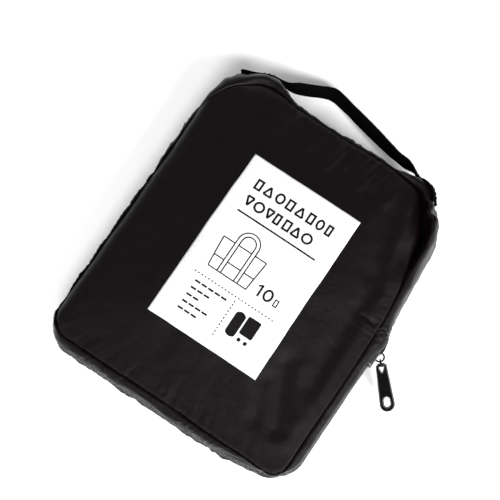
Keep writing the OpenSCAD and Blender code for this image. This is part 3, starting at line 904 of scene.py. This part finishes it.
def zipper_tape(name, sign):
    """One woven tape: its inner edge is under the coil, its outer edge under the gusset strip."""
    xy, normal, s = zip_path(1.5)
    profile = [(TAPE_U, z) for z in (CHAIN_GAP, 1.6, 3.2, STRIP_HALF)]
    profile += [(TAPE_U - 0.8, 7.0), (TAPE_U - 1.6, 8.8)]
    verts, uv = [], []
    for u, z in profile:
        verts += [(*q, MID_Z + sign * z) for q in xy + normal * u]
        uv += [(t, z) for t in s]
    return finish_gusset(make_mesh(name, verts, grid_faces(len(profile), len(s)), uv))


def coil(name, sign):
    """A flattened helix of one filament, whose loops reach just past the middle of the chain."""
    pitch, per_turn, wire = 1.25, 10, 0.33
    xy, normal, s = zip_path(pitch / per_turn, CHAIN_END)
    half_z, half_u = COIL_W / 2 + 0.1, COIL_W / 2 - wire - 0.05
    centre_z = sign * (CHAIN_GAP + COIL_W / 2 - 0.38)
    phase = 0 if sign > 0 else math.pi
    line = []
    for p, n, t in zip(xy, normal, s):
        a = 2 * math.pi * t / pitch + phase
        q = p + n * (TAPE_U + COIL_W / 2 + half_u * math.sin(a))
        line.append((q[0], q[1], MID_Z + centre_z + half_z * math.cos(a) * sign))
    return make_mesh(name, *tube(line, wire))


def strip_stitches(strips):
    """Topstitching along the zipper's strips, laid on their surface."""
    rays = []
    xy, normal, s = zip_path(0.75)
    for sign in (1, -1):
        z = MID_Z + sign * (STRIP_HALF + 1.9)
        for i in range(0, len(s) - 3, 4):
            if max(xy[i][1], xy[i + 3][1]) < JOINT_Y - 1:
                rays += [((*(xy[k] + normal[k] * 15), z), (*-normal[k], 0)) for k in (i, i + 3)]
    return stitches("zip_strip_topstitch", seated(strips, rays), 0.15, 0.1, 0.05)


def first_hit(trees, start, direction):
    """The nearest hit of a ray as (distance, place, normal), or None."""
    best = None
    for tree in trees:
        co, no, _, dist = tree.ray_cast(Vector(start) * MM, Vector(direction))
        if co is not None and (best is None or dist < best[0]):
            best = (dist, co / MM, no)
    return best


def seated(pieces, rays):
    """Stitches from pairs of rays that hit the pieces, with the surface's normal turned against the ray."""
    trees = [ray_tree(piece) for piece in pieces]
    hits = [first_hit(trees, *ray) for ray in rays]
    places = []
    for a, b, ray in zip(hits[::2], hits[1::2], rays[::2]):
        if a and b and np.linalg.norm(np.array(a[1]) - np.array(b[1])) < 4:
            places.append((a[1], b[1], a[2] if a[2].dot(Vector(ray[1])) < 0 else -a[2]))
    return places


# ---------------------------------------------------------------- label

def surface_height(obj, xys):
    """Height of a piece's top at each (x, y), by a ray from above."""
    tree = ray_tree(obj)
    hits = [tree.ray_cast(Vector((x * MM, y * MM, 0.1)), Vector((0, 0, -1)))[0] for x, y in xys]
    return np.array([co.z / MM if co is not None else float("nan") for co in hits])


def label_sheet(front):
    """The sewn label: a stiffer cloth that lies over the panel's waves."""
    columns, rows = 54, 80
    w, h = (LABEL_HI - LABEL_LO)[:2]
    gx, gy = np.meshgrid(np.linspace(-w / 2, w / 2, columns), np.linspace(-h / 2, h / 2, rows))
    flat = np.c_[gx.ravel(), gy.ravel(), np.zeros(gx.size)]

    def wobble(scale, seed):
        return smooth_noise(flat, scale, seed).reshape(gx.shape)

    taper = 1 - 0.006 * gy / (h / 2)
    x = LABEL_MID[0] + gx * taper + 0.25 * wobble(14, 61) * (np.abs(gx) > w / 2 - 3)
    y = LABEL_MID[1] + gy + 0.25 * wobble(14, 63) * (np.abs(gy) > h / 2 - 3)
    low = surface_height(front, np.c_[x.ravel(), y.ravel()]).reshape(gx.shape)
    z = low.copy()
    for _ in range(26):
        z = np.maximum(softened(z), low + 0.02)
    edge = np.minimum(w / 2 - np.abs(gx), h / 2 - np.abs(gy))
    z += 0.34 + 0.12 * wobble(7, 65) * np.exp(-edge / 4)
    z -= 0.16 * np.exp(-((edge - 2.0) / 0.5) ** 2)
    verts = np.c_[x.ravel(), y.ravel(), z.ravel()]
    obj = make_mesh("label_sheet", verts, grid_faces(rows, columns), flat[:, :2])
    flip_to(obj, Vector((0, 0, 1)))
    thicken(obj, 0.3)
    return obj


def label_stitches(sheet):
    """White thread round the label, a stitch every three millimetres."""
    w, h = (LABEL_HI - LABEL_LO)[:2] / 2 - 2.0
    spots = []
    for s in (-1, 1):
        spots += [((s * w, t), (s * w, t + 2.1)) for t in np.arange(-h, h - 1, 3.0)]
        spots += [((t, s * h), (t + 2.1, s * h)) for t in np.arange(-w, w - 1, 3.0)]
    ends = np.array(spots).reshape(-1, 2) + LABEL_MID[:2]
    tops = np.c_[ends, surface_height(sheet, ends) + 0.02]
    places = [(a, b, (0, 0, 1)) for a, b in zip(tops[::2], tops[1::2])]
    return stitches("label_stitches", places, 0.17, 0.2, 0.1)


def ribbon(pairs, closed=False):
    """A printed line from pairs of points on its two edges."""
    n = len(pairs)
    quads = [(2 * i, 2 * i + 2, 2 * i + 3, 2 * i + 1) for i in range(n if closed else n - 1)]
    faces = [tuple(k % (2 * n) for k in quad) for quad in quads]
    return [p for pair in pairs for p in pair], faces


def stroke(a, b, width):
    """A straight printed line from a to b."""
    a, b = np.array(a, float), np.array(b, float)
    d = b - a
    length = np.linalg.norm(d)
    side = np.array([-d[1], d[0]]) / length * width / 2
    middle = [a + d * t for t in np.linspace(0, 1, max(1, int(length / 0.8)) + 1)]
    return ribbon([(p - side, p + side) for p in middle])


def arc(centre, radius, a0, a1, width):
    """A printed arc between two angles in degrees."""
    edges = (radius - width / 2, radius + width / 2)
    return ribbon([[on_arc(centre, r, a) for r in edges] for a in np.linspace(a0, a1, 19)])


def box_mark(x, y, w, h, line):
    """An open box: the plain stand-in for one printed character."""
    k = line / 2
    x0, x1, y0, y1 = x + k, x + w - k, y + k, y + h - k
    return [
        stroke((x0 - k, y0), (x1 + k, y0), line), stroke((x0 - k, y1), (x1 + k, y1), line),
        stroke((x0, y0 + k), (x0, y1 - k), line), stroke((x1, y0 + k), (x1, y1 - k), line),
    ]


def triangle_mark(x, y, w, h, line, up=True):
    """An open triangle."""
    k = line / 2
    foot, tip = (y + k, y + h - k) if up else (y + h - k, y + k)
    a, b, c = (x + k, foot), (x + w - k, foot), (x + w / 2, tip)
    return [stroke(a, b, line), stroke(b, c, line), stroke(c, a, line)]


def mark_row(marks, x, y, h, gap, line):
    """A row of plain marks, each (kind, width): box, ring, or a triangle that points up or down."""
    parts = []
    for kind, w in marks:
        if kind == "box":
            parts += box_mark(x, y, w, h, line)
        elif kind == "ring":
            parts.append(ring(x + w / 2, y + h / 2, (w - line) / 2, (h - line) / 2, line))
        else:
            parts += triangle_mark(x, y, w, h, line, kind == "up")
        x += w + gap
    return parts


def tote_figure(x, y, line):
    """Line drawing of a tote with an arched handle, from the middle of its mouth."""
    top, foot, waist, low, band = 12.8, 11.3, 12.0, -16.6, -10.2
    inner, outer, arch = 3.9, 6.0, 3.0
    rows = [(-foot, low, foot, low), (-inner, 0, inner, 0), (-inner, band, inner, band)]
    for s in (-1, 1):
        rows += [(s * top, 0, s * foot, low), (s * top, 0, s * outer, 0), (s * waist, band, s * outer, band)]
        rows += [(s * r, arch, s * r, low) for r in (inner, outer)]
    parts = [stroke((x + x0, y + y0), (x + x1, y + y1), line) for x0, y0, x1, y1 in rows]
    return parts + [arc((x, y + arch), r, 0, 180, line) for r in (inner, outer)]


def block(x, y, w, h, round_by):
    """A filled printed block with rounded corners, as a grid of small quads."""
    nx, ny = max(2, int(w / 0.7)), max(2, int(h / 0.7))
    verts = []
    for v in np.linspace(0, h, ny + 1):
        into = max(0.0, round_by - min(v, h - v))
        cut = round_by - math.sqrt(round_by ** 2 - into ** 2)
        verts += [(x + cut + u * (w - 2 * cut), y + v) for u in np.linspace(0, 1, nx + 1)]
    return verts, grid_faces(ny + 1, nx + 1)


def ring(x, y, rx, ry, line):
    """A printed oval ring."""
    turns = [np.array([math.cos(a), math.sin(a)]) for a in np.arange(28) * 2 * math.pi / 28]
    inner, outer = (np.array([rx + k, ry + k]) for k in (-line / 2, line / 2))
    return ribbon([((x, y) + d * inner, (x, y) + d * outer) for d in turns], closed=True)


def print_parts():
    """Plain marks for the heading, a line drawing of a tote, a number, short dashes and four blocks."""
    heavy, fine = 1.1, 0.62
    first = [("box", 4.0), ("up", 5.4), ("ring", 5.2), ("box", 4.2)]
    first += [("up", 5.4), ("box", 4.0), ("ring", 4.4), ("box", 3.4)]
    parts = mark_row(first, -23, 32.3, 6, 1.4, heavy)
    parts += mark_row([("down", 4.8), ("ring", 6.0), ("down", 4.8), ("box", 3.6)], -23, 22.5, 6, 0.7, heavy)
    parts += mark_row([("box", 4.2), ("up", 5.4), ("ring", 6.0)], 0.2, 22.5, 6, 0.7, heavy)
    parts.append(stroke((-23, 18.65), (23.5, 18.65), 0.9))
    parts += tote_figure(-8.2, 3.5, fine)
    parts += [stroke((9.6, -12.8), (9.6, -6.4), heavy), stroke((7.7, -7.9), (9.5, -6.7), heavy * 0.8)]
    parts += [ring(14.3, -9.6, 2.1, 2.75, heavy)] + box_mark(18.4, -12.8, 2.4, 4.0, fine)
    parts += [stroke((x, -18.9), (x + 0.9, -18.9), fine) for x in -23.5 + 2 * np.arange(24)]
    for row, count in enumerate((5, 3, 2, 4, 3)):
        y = -23.0 - 3.9 * row
        parts += [stroke((x, y), (x + 3.1, y), 1.0) for x in -20.5 + 3.9 * np.arange(count)]
    parts += [stroke((2, y), (2, y - 0.9), fine) for y in -20.8 - 1.95 * np.arange(11)]
    parts += [block(5.8, -37.2, 5.6, 13.6, 2.2), block(12.3, -33.2, 7.4, 10.0, 0.5)]
    return parts + [block(x, -37.0, 2.0, 1.9, 0.3) for x in (13.2, 17.0)]


def label_print(sheet):
    """All printed marks, laid just above the label."""
    verts, faces = joined(print_parts())
    xy = np.array(verts) + LABEL_MID[:2]
    obj = make_mesh("label_print_ink", np.c_[xy, surface_height(sheet, xy) + 0.1], faces)
    flip_to(obj, Vector((0, 0, 1)))
    thicken(obj, 0.03)
    return obj


# ---------------------------------------------------------------- handle

def tail_line(side, tip_x, ear_x, shell):
    """The sewn end of the tape on one side: it lies on the gusset, from its tip to the ear.
    Returns places and the surface's normals there."""
    rise, slope, tip_lift = (19.5, -0.9, 0.3) if side > 0 else (0.6, 0, 1.6)
    near = [j for j in TOP_RUN if CREST[j][1] > 60 and ear_x < CREST[j][0] * side < tip_x + 3]
    near.sort(key=lambda j: -CREST[j][0] * side)
    tree = ray_tree(shell)
    line, normals = [], []
    for j in near[::3]:
        out = CREST[j][0] * side
        along = step_up(out, ear_x, ear_x + 7)
        down = Vector((*-CREST_N[j], slope * along)).normalized()
        start = Vector((*(CREST[j] + CREST_N[j] * 15), MID_Z + rise * along)) * MM - down * 0.002
        co, no, _, _ = tree.ray_cast(start, down)
        if co is not None:
            face = np.array(-no if no.dot(down) > 0 else no)
            line.append(np.array(co) / MM + face * (0.75 + tip_lift * step_up(out, tip_x - 3, tip_x + 3)))
            normals.append(face)
    return line, normals


def strap_line(shell):
    """The tape's middle line and the direction of its width, from the left tip to the right tip."""
    droop = math.radians(36)
    rise, soft, kink_x = 18.9, 1.2, -20.5
    left_x, right_x = STRAP_LO[0], STRAP_HI[0]
    left_tip, right_tip = -mm_box("handle_end_left")[0][0], mm_box("handle_end_right")[1][0] - 1.8
    loop = []
    for x in np.linspace(left_x + 3, right_x - 3, 60):
        up = (rise + soft) * (x - left_x) / (kink_x - left_x)
        down = (rise + soft) * (right_x - x) / (right_x - kink_x)
        h = (up + down) / 2 - math.hypot((up - down) / 2, soft)
        end = math.exp(-((x - left_x) / 8) ** 2) + math.exp(-((right_x - x) / 9) ** 2)
        loop.append(np.array([x, HINGE_Y + h * math.cos(droop) + 2.0 * end, MID_Z - h * math.sin(droop)]))
    left, left_n = tail_line(-1, left_tip, -left_x + 1.5, shell)
    right, right_n = tail_line(1, right_tip, right_x + 1.5, shell)
    face = [np.array([0.0, 1.0, 0.0])] * len(loop)
    rows = np.c_[np.array(left + loop + right[::-1]), np.array(left_n + face + right_n[::-1])]
    rows = resample(rows, 1.2)
    for _ in range(4):
        rows[1:-1] = (rows[:-2] + 2 * rows[1:-1] + rows[2:]) / 4
    points, face = rows[:, :3], rows[:, 3:]
    x = points[:, 0]
    inside = step_up(x, left_x - 1, left_x + 8) * (1 - step_up(x, right_x - 8, right_x + 1))
    lean = -inside * np.radians(43 - 10 * step_up(x, -4, 14) + 3 * np.sin(x / 5))
    widths = np.stack([np.zeros(len(points)), -np.sin(lean), np.cos(lean)], 1)
    tangent = np.gradient(points, axis=0)
    lying = np.cross(tangent, face)
    lying *= np.sign(lying[:, 2:]) / np.linalg.norm(lying, axis=1)[:, None]
    share = (inside[:, None]) ** 0.5
    return points, widths * share + lying * (1 - share)


def resample(points, step):
    dist = travelled(points)
    s = np.linspace(0, dist[-1], int(dist[-1] / step) + 1)
    return np.stack([np.interp(s, dist, points[:, k]) for k in range(points.shape[1])], 1)


def tape_frames(shell):
    """The tape's middle line, with its direction, its width and its face at each point."""
    points, widths = strap_line(shell)
    tangent = np.gradient(points, axis=0)
    tangent /= np.linalg.norm(tangent, axis=1)[:, None]
    twist = 0.25 * line_noise(travelled(points), 24, 73)
    across, face = [], []
    for t, w, angle in zip(tangent, widths, twist):
        w = w - t * np.dot(w, t)
        w /= np.linalg.norm(w)
        n = np.cross(t, w)
        across.append(w * math.cos(angle) + n * math.sin(angle))
        face.append(n * math.cos(angle) - w * math.sin(angle))
    return points, tangent, across, face


def strap(shell):
    """The handle tape: a soft woven band with rounded edges and frayed cut ends."""
    width, thick = 8.0, 1.15
    points, tangent, across, face = tape_frames(shell)
    edge = [(t, 0.5 * math.sqrt(max(0.0, 1 - t ** 6)) + 0.12) for t in np.linspace(-1, 1, 9)]
    section = edge + [(t, -d) for t, d in reversed(edge)]
    dist = travelled(points)
    half = width / 2 + 0.22 * line_noise(dist, 4.5, 71)
    last, cols = len(points) - 1, len(section)
    verts, uv = [], []
    for i, p in enumerate(points):
        for t, d in section:
            fray = 0.5 * math.sin(9 * t + 3) if i in (0, last) else 0
            cup = 0.25 * (t * t - 0.4)
            verts.append(p + across[i] * t * half[i] + face[i] * (d * thick + cup) + tangent[i] * fray)
            uv.append((dist[i], t * width / 2))
    faces = grid_faces(len(points), cols, True)
    faces += [tuple(range(cols))[::-1], tuple(last * cols + k for k in range(cols))]
    obj = make_mesh("handle_tape", verts, faces, uv)
    edit_mesh(obj, lambda bm: bmesh.ops.recalc_face_normals(bm, faces=bm.faces))
    modify(obj, "SUBSURF", levels=1)
    return obj


def bar_tack(name, side, shell):
    """Close zigzag stitches across the tape that hold one end of it."""
    places = []
    for i, (p, along, across, face) in enumerate(zip(*tape_frames(shell))):
        if 49 < p[0] * side < 55:
            out = face * np.sign(np.dot(face[:2], p[:2]))
            reach = along * (0.5 if i % 2 else -0.5) - across * 3.2
            places.append((p + out * 0.75 + reach, p + out * 0.75 - reach, out))
    return stitches(name, places, 0.26, 0.25, 0.12)


def joint_stitches(name, side, shell):
    """Two rows of stitches up the gusset's end and over its roll to the front seam."""
    places = []
    roll_x, roll_z = side * (HALF_W - 9), 20.5
    for row in JOINT_ROWS:
        y = JOINT_Y + row
        rays = []
        for z in np.arange(FOOT_Z + 2.5, roll_z - 1, 2.7):
            rays += [((side * (HALF_W + 15), y, z + dz), (-side, 0, 0)) for dz in (0, 2.0)]
        for turn in np.arange(0.1, 1.1, 0.3):
            for a in (turn, turn + 0.22):
                x, z = side * math.cos(a), math.sin(a)
                rays.append(((roll_x + 25 * x, y, roll_z + 25 * z), (-x, 0, -z)))
        places += seated([shell], rays)
    return stitches(name, places, 0.36, 0.3, 0.05)


# ---------------------------------------------------------------- slider's pull tab

def tab_frame():
    """Matrix that places the tab, drawn along +X from its bar, where the joints say."""
    axis = Vector(JOINT["pull_tilt"]["axis"])
    droop = math.radians(22)
    flat = Vector((-axis.y, axis.x, 0)).normalized()
    along = flat * math.cos(droop) - Vector((0, 0, 1)) * math.sin(droop)
    side = -axis.normalized()
    up = along.cross(side)
    m = Matrix((along, side, up)).transposed().to_4x4()
    m.translation = Vector(JOINT["pull_tilt"]["pos_m"])
    return m


def spline(curve, points):
    s = curve.splines.new("POLY")
    s.points.add(len(points) - 1)
    for p, q in zip(s.points, points):
        p.co = (q[0] * MM, q[1] * MM, 0, 1)
    s.use_cyclic_u = True


def rounded_loop(points, radius, steps=6):
    """Closed polygon with each corner rounded."""
    out = []
    pts = np.array(points, float)
    for p, a, b in zip(pts, np.roll(pts, 1, 0), np.roll(pts, -1, 0)):
        to_a, to_b = np.linalg.norm(a - p), np.linalg.norm(b - p)
        r = min(radius, to_a / 2.2, to_b / 2.2)
        from_a, from_b = (a - p) / to_a * r, (b - p) / to_b * r
        out += [p + from_a * (1 - t) ** 2 + from_b * t ** 2 for t in np.linspace(0, 1, steps)]
    return out


def pull_tab():
    """The pull tab: cast, enamelled, with a rounded edge, a three-sided eye and an oval hole."""
    length, neck, end, thick, rim = 25.0, 5.7, 7.8, 1.5, 0.72
    end_r, end_x, shoulder = end / 2 - rim, length - end / 2, neck / 2 - rim
    outer = [(0.1, 1.0 - shoulder), (1.0, -shoulder)]
    half_turn = np.linspace(-0.1, math.pi + 0.1, 30)
    outer += [(end_x + end_r * math.sin(a), -end_r * math.cos(a)) for a in half_turn]
    outer += [(1.0, shoulder), (0.1, shoulder - 1.0)]
    wide, tip = 1.05 + rim, 4.1 + rim
    eye = [(0.9, -wide), (2.15, -wide), (tip, -0.6), (tip, 0.6), (2.15, wide), (0.9, wide)]
    hole_x, hole_r = length - 5.2, 1.55 + rim
    turns = [(math.cos(a), math.sin(a)) for a in np.linspace(0, 2 * math.pi, 33)[:-1]]
    hole = [(hole_x + (0.9 if c > 0 else -0.9) + hole_r * c, hole_r * s) for c, s in turns]
    curve = bpy.data.curves.new("pull_tab_shape", "CURVE")
    curve.dimensions = "2D"
    curve.fill_mode = "BOTH"
    curve.extrude = (thick / 2 - rim) * MM
    curve.bevel_depth = rim * MM
    curve.bevel_resolution = 3
    for points in (outer, rounded_loop(eye, 0.6), hole):
        spline(curve, points)
    shape = new_object("pull_tab_shape", curve)
    bpy.context.view_layer.update()
    graph = bpy.context.evaluated_depsgraph_get()
    mesh = bpy.data.meshes.new_from_object(shape.evaluated_get(graph))
    bpy.data.objects.remove(shape)
    bar = 0.62 * MM                              # the bar that runs in the link is round
    for v in mesh.vertices:
        reach = math.hypot(min(v.co.x, 0), v.co.z)
        if v.co.x < bar and reach > bar:
            v.co.z *= bar / reach
            v.co.x *= bar / reach if v.co.x < 0 else 1
    mesh.transform(tab_frame())
    shade_smooth(mesh)
    obj = new_object("pull_tab_cast", mesh)
    modify(obj, "EDGE_SPLIT", split_angle=math.radians(50))
    return obj


# ---------------------------------------------------------------- slider, stops and bindings

def rounded_copy(node, name, width):
    """A copy of a CAD piece with its edges rounded."""
    piece = frame["nodes"][node]
    obj = new_object(name, piece.data.copy())
    obj.data.transform(piece.matrix_world)
    edit_mesh(
        obj,
        lambda bm: bmesh.ops.remove_doubles(bm, verts=bm.verts, dist=0.002 * MM),
        lambda bm: bmesh.ops.dissolve_limit(bm, angle_limit=math.radians(1), verts=bm.verts, edges=bm.edges),
    )
    modify(
        obj, "BEVEL", width=width * MM, segments=3, limit_method="ANGLE",
        angle_limit=math.radians(40), harden_normals=True,
    )
    shade_smooth(obj.data)
    return obj


def slider_cast():
    """The slider, with its outer plate as thick and as long as the photograph shows it."""
    slider = rounded_copy("slider_body", "slider_body_cast", 0.22)
    plate_x = mm_box("slider_body")[1][0] - 1.0
    for v in slider.data.vertices:
        if v.co.x > plate_x * MM:
            v.co.x += 0.5 * MM
            v.co.y -= 0.7 * MM if v.co.y < -2 * MM else 0.0
    return slider


def seam_binding(name, line, heights, sign):
    """A tape folded over the seam allowance inside the pouch."""
    normal = normals_2d(line)
    profile = [(-1.9, 0.0), (-1.8, 2.6), (-2.2, 3.5), (-2.9, 3.7), (-3.6, 3.4), (-3.9, 2.6), (-3.8, 0.2)]
    samples = range(0, AROUND, 3)
    verts, uv = [], []
    for k, (u, down) in enumerate(profile):
        for j in samples:
            verts.append((*(line[j] + normal[j] * (u + 0.2 * PUCKER[j])), heights[j] - sign * (1.6 + down)))
            uv.append((RUN[j], k * 1.2))
    obj = make_mesh(name, verts, grid_faces(len(profile), len(samples), True), uv)
    thicken(obj, 0.35)
    return obj


# ---------------------------------------------------------------- the folded tote

def tucked(x, y):
    """Draws the corners of the folded stack in, so that they follow the pouch's round corners."""
    lo, hi = mm_box("tote_front_panel")
    mid, half = (lo + hi)[:2] / 2, (hi - lo)[:2] / 2
    inner_x, inner_y = (half[k] - np.where(y > mid[1], 34.0, 22.0) for k in (0, 1))
    dx, dy = np.abs(x - mid[0]) - inner_x, np.abs(y - mid[1]) - inner_y
    corner = (dx > 0) & (dy > 0)
    k = np.maximum(dx, dy) / np.maximum(np.hypot(dx, dy), 0.01)
    return (
        np.where(corner, mid[0] + np.sign(x - mid[0]) * (inner_x + dx * k), x),
        np.where(corner, mid[1] + np.sign(y - mid[1]) * (inner_y + dy * k), y),
    )


def zigzag(lo, hi, layers, step):
    """A line that runs back and forth along the pouch, as (y, z)."""
    pitch, inset = (hi[2] - lo[2]) / layers, 1.5
    radius = pitch / 2
    ends = (lo[1] + inset + radius, hi[1] - inset - radius)
    run = []
    for k in range(layers):
        z = lo[2] + pitch * (k + 0.5)
        side = 1 if k % 2 == 0 else -1
        a, b = ends[::side]
        run += [(y, z) for y in np.linspace(a, b, int(abs(b - a) / step))]
        if k < layers - 1:
            turn = np.linspace(0.4, math.pi - 0.4, 5)
            run += [(b + side * radius * math.sin(t), z + radius - radius * math.cos(t)) for t in turn]
    return resample(np.array(run), step)


def folded_cloth(node, name, layers, seed):
    """A sheet folded back and forth in the space of its CAD stack, with its flat width and length."""
    lo, hi = mm_box(node)
    width, step = hi[0] - lo[0], 3.2
    run = zigzag(lo, hi, layers, step)
    xs = np.linspace(lo[0] + 0.5, hi[0] - 0.5, max(3, int(width / step)))
    dist = travelled(run)
    gx, gi = np.meshgrid(xs, np.arange(len(run)))
    x, y, z, d = gx.ravel(), run[gi.ravel(), 0], run[gi.ravel(), 1], dist[gi.ravel()]
    soft = min(0.5, (hi[2] - lo[2]) / layers * 0.35)
    z = z + soft * flat_noise(np.c_[x, d], 17, seed)
    y = y + 1.1 * smooth_noise(np.c_[x, d, z], 22, seed + 1)
    x = x + 0.7 * smooth_noise(np.c_[x * 0, d, z], 15, seed + 2) * (x - LABEL_MID[0]) / width * 2
    x, y = tucked(x, y)
    obj = make_mesh(name, np.c_[x, y, z], grid_faces(len(run), len(xs)), np.c_[gx.ravel(), d])
    thicken(obj, 0.22 if width > 40 else 0.7, offset=0.0)
    return obj, (width - 1) * MM, dist[-1] * MM


def dress_tote():
    """The folded tote inside the pouch: two panels, a gusset, two handles and the hem binding."""
    pieces = (
        ("tote_back_panel", 6, TOTE_NYLON, "tote_nylon"),
        ("tote_gusset", 3, TOTE_NYLON, "tote_nylon"),
        ("tote_handle_front", 3, WEBBING, "tote_webbing"),
        ("tote_handle_rear", 3, WEBBING, "tote_webbing"),
        ("tote_hem_binding", 3, BINDING, "binding_tape"),
        ("tote_front_panel", 6, TOTE_NYLON, "tote_nylon"),
    )
    for k, (node, layers, material, slot) in enumerate(pieces):
        obj, width, length = folded_cloth(node, node + "_cloth", layers, 80 + 4 * k)
        add_piece(obj, "pouch", material, [node])


# ---------------------------------------------------------------- assembly

def sew(obj, slot, material, *nodes):
    """Fixes a piece to the pouch in place of its CAD nodes."""
    return add_piece(obj, "pouch", material, nodes)


def dress_pouch():
    """The shell, the zipper and their stitches. Returns the front, the back and the upper gusset."""
    front, back = front_panel(), back_panel()
    strips = {
        "zip_gusset_front": gusset_strip("zip_gusset_front_cloth", ZIP_RUN, True),
        "zip_gusset_back": gusset_strip("zip_gusset_back_cloth", ZIP_RUN, False),
    }
    upper = upper_gusset(TOP_RUN)
    thicken(front, 0.4)
    thicken(back, 0.3)
    shell = {"front_panel": front, "back_panel": back, "upper_gusset": upper, **strips}
    for node, cloth in shell.items():
        sew(cloth, "nylon_shell", NYLON, node)
    for node, sign in (("zipper_tape_front", 1), ("zipper_tape_back", -1)):
        sew(zipper_tape(node + "_weave", sign), "zipper_tape", ZIP_TAPE, node)
    for node, sign in (("zipper_coil_front", 1), ("zipper_coil_back", -1)):
        sew(coil(node + "_teeth", sign), "zipper_coil", COIL, node)
    sew(strip_stitches(list(strips.values())), "black_thread", THREAD)
    return front, back, upper


def dress_label(front):
    """The label with its thread and its print."""
    sheet = label_sheet(front)
    thread = sew(label_stitches(sheet), "white_thread", WHITE_THREAD, "label_stitching")
    ink = sew(label_print(sheet), "label_ink", INK, "label_print")
    sew(sheet, "label_cloth", LABEL_CLOTH, "label")


def dress_handle(upper):
    """The tape, which bends from the pouch to the handle, and the stitches at its ends."""
    tape = strap(upper)
    add_piece(tape, None, STRAP_TAPE, ["handle_strap", "handle_end_left", "handle_end_right"])
    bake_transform(tape)
    for side, name in ((1, "right"), (-1, "left")):
        sew(bar_tack("bar_tack_" + name, side, upper), "black_thread", THREAD, "handle_tack_" + name)
        joint = joint_stitches("joint_stitches_" + name, side, upper)
        sew(joint, "black_thread", THREAD, "joint_stitching_" + name)


def dress_metal():
    """The pull tab, the slider, its bail and link, and the zipper's stops."""
    add_piece(pull_tab(), "pull_tab", pull_enamel(), ["pull_tab"])
    add_piece(slider_cast(), "slider", METAL, ["slider_body"])
    for which, width in (("top_stops", 0.25), ("bottom_stop", 0.3)):
        stop = rounded_copy("zipper_" + which, which + "_crimped", width)
        sew(stop, "stop_metal", METAL, "zipper_" + which)
    for node in ("slider_bail", "pull_link"):
        for slot in frame["nodes"][node].material_slots:
            slot.material = WIRE


FRONT_CLOTH, BACK_CLOTH, UPPER_CLOTH = dress_pouch()
dress_label(FRONT_CLOTH)
dress_handle(UPPER_CLOTH)
dress_metal()
sew(seam_binding("front_seam_tape", FRONT, SEAM_Z, 1), "binding_tape", BINDING, "front_seam_binding")
FOOT = np.full(AROUND, FOOT_Z)
sew(seam_binding("back_seam_tape", BACK, FOOT, -1), "binding_tape", BINDING, "back_seam_binding")
dress_tote()


# ---------------------------------------------------------------- floor, light and camera

def add_floor(half=3000):
    corners = [(-half, -half, 0), (half, -half, 0), (half, half, 0), (-half, half, 0)]
    floor = make_mesh("floor", corners, [(0, 1, 2, 3)])
    floor.location.z = -0.05 * MM
    floor.data.materials.append(Shader("floor_white", (0.93, 0.93, 0.93), 0.6, Specular_IOR_Level=0.2).mat)


def add_light(name, place, size, power):
    """A round area light that looks at the object."""
    data = bpy.data.lights.new(name, "AREA")
    data.shape = "DISK"
    data.size = size
    data.energy = power
    light = new_object(name, data)
    light.location = place
    light.rotation_euler = (-Vector(place)).to_track_quat("-Z", "Y").to_euler()


def add_world(strength):
    world = bpy.data.worlds.new("studio")
    world.use_nodes = True
    background = world.node_tree.nodes["Background"]
    background.inputs["Color"].default_value = (1, 1, 1, 1)
    background.inputs["Strength"].default_value = strength
    bpy.context.scene.world = world


def add_camera():
    """Nearly overhead, turned 34 degrees about the object and leaning 12 towards its lower right."""
    turn, lean, distance = math.radians(33.8), math.radians(12), 1.25
    lower = Vector((math.sin(turn), -math.cos(turn), 0))
    back_dir = lower * math.sin(lean) + Vector((0, 0, 1)) * math.cos(lean)
    up = -lower * math.cos(lean) + Vector((0, 0, 1)) * math.sin(lean)
    target = Vector((-6.75, 6.8, TOP_Z)) * MM
    data = bpy.data.cameras.new("camera")
    data.sensor_width = 36
    data.lens = 180
    data.clip_start, data.clip_end = 0.05, 20
    camera = new_object("camera", data)
    m = Matrix((up.cross(back_dir), up, back_dir)).transposed().to_4x4()
    m.translation = target + back_dir * distance
    camera.matrix_world = m
    bpy.context.scene.camera = camera


add_floor()
add_light("key", (0.68, -0.15, 0.58), 0.45, 16)
add_light("softbox", (0.15, -0.78, 0.95), 0.5, 12)
add_light("fill", (-1.0, -0.6, 0.7), 0.8, 4.5)
add_light("far", (-0.7, 1.0, 0.34), 0.9, 6)
add_world(0.3)
add_camera()
bpy.context.scene.view_settings.view_transform = "Standard"
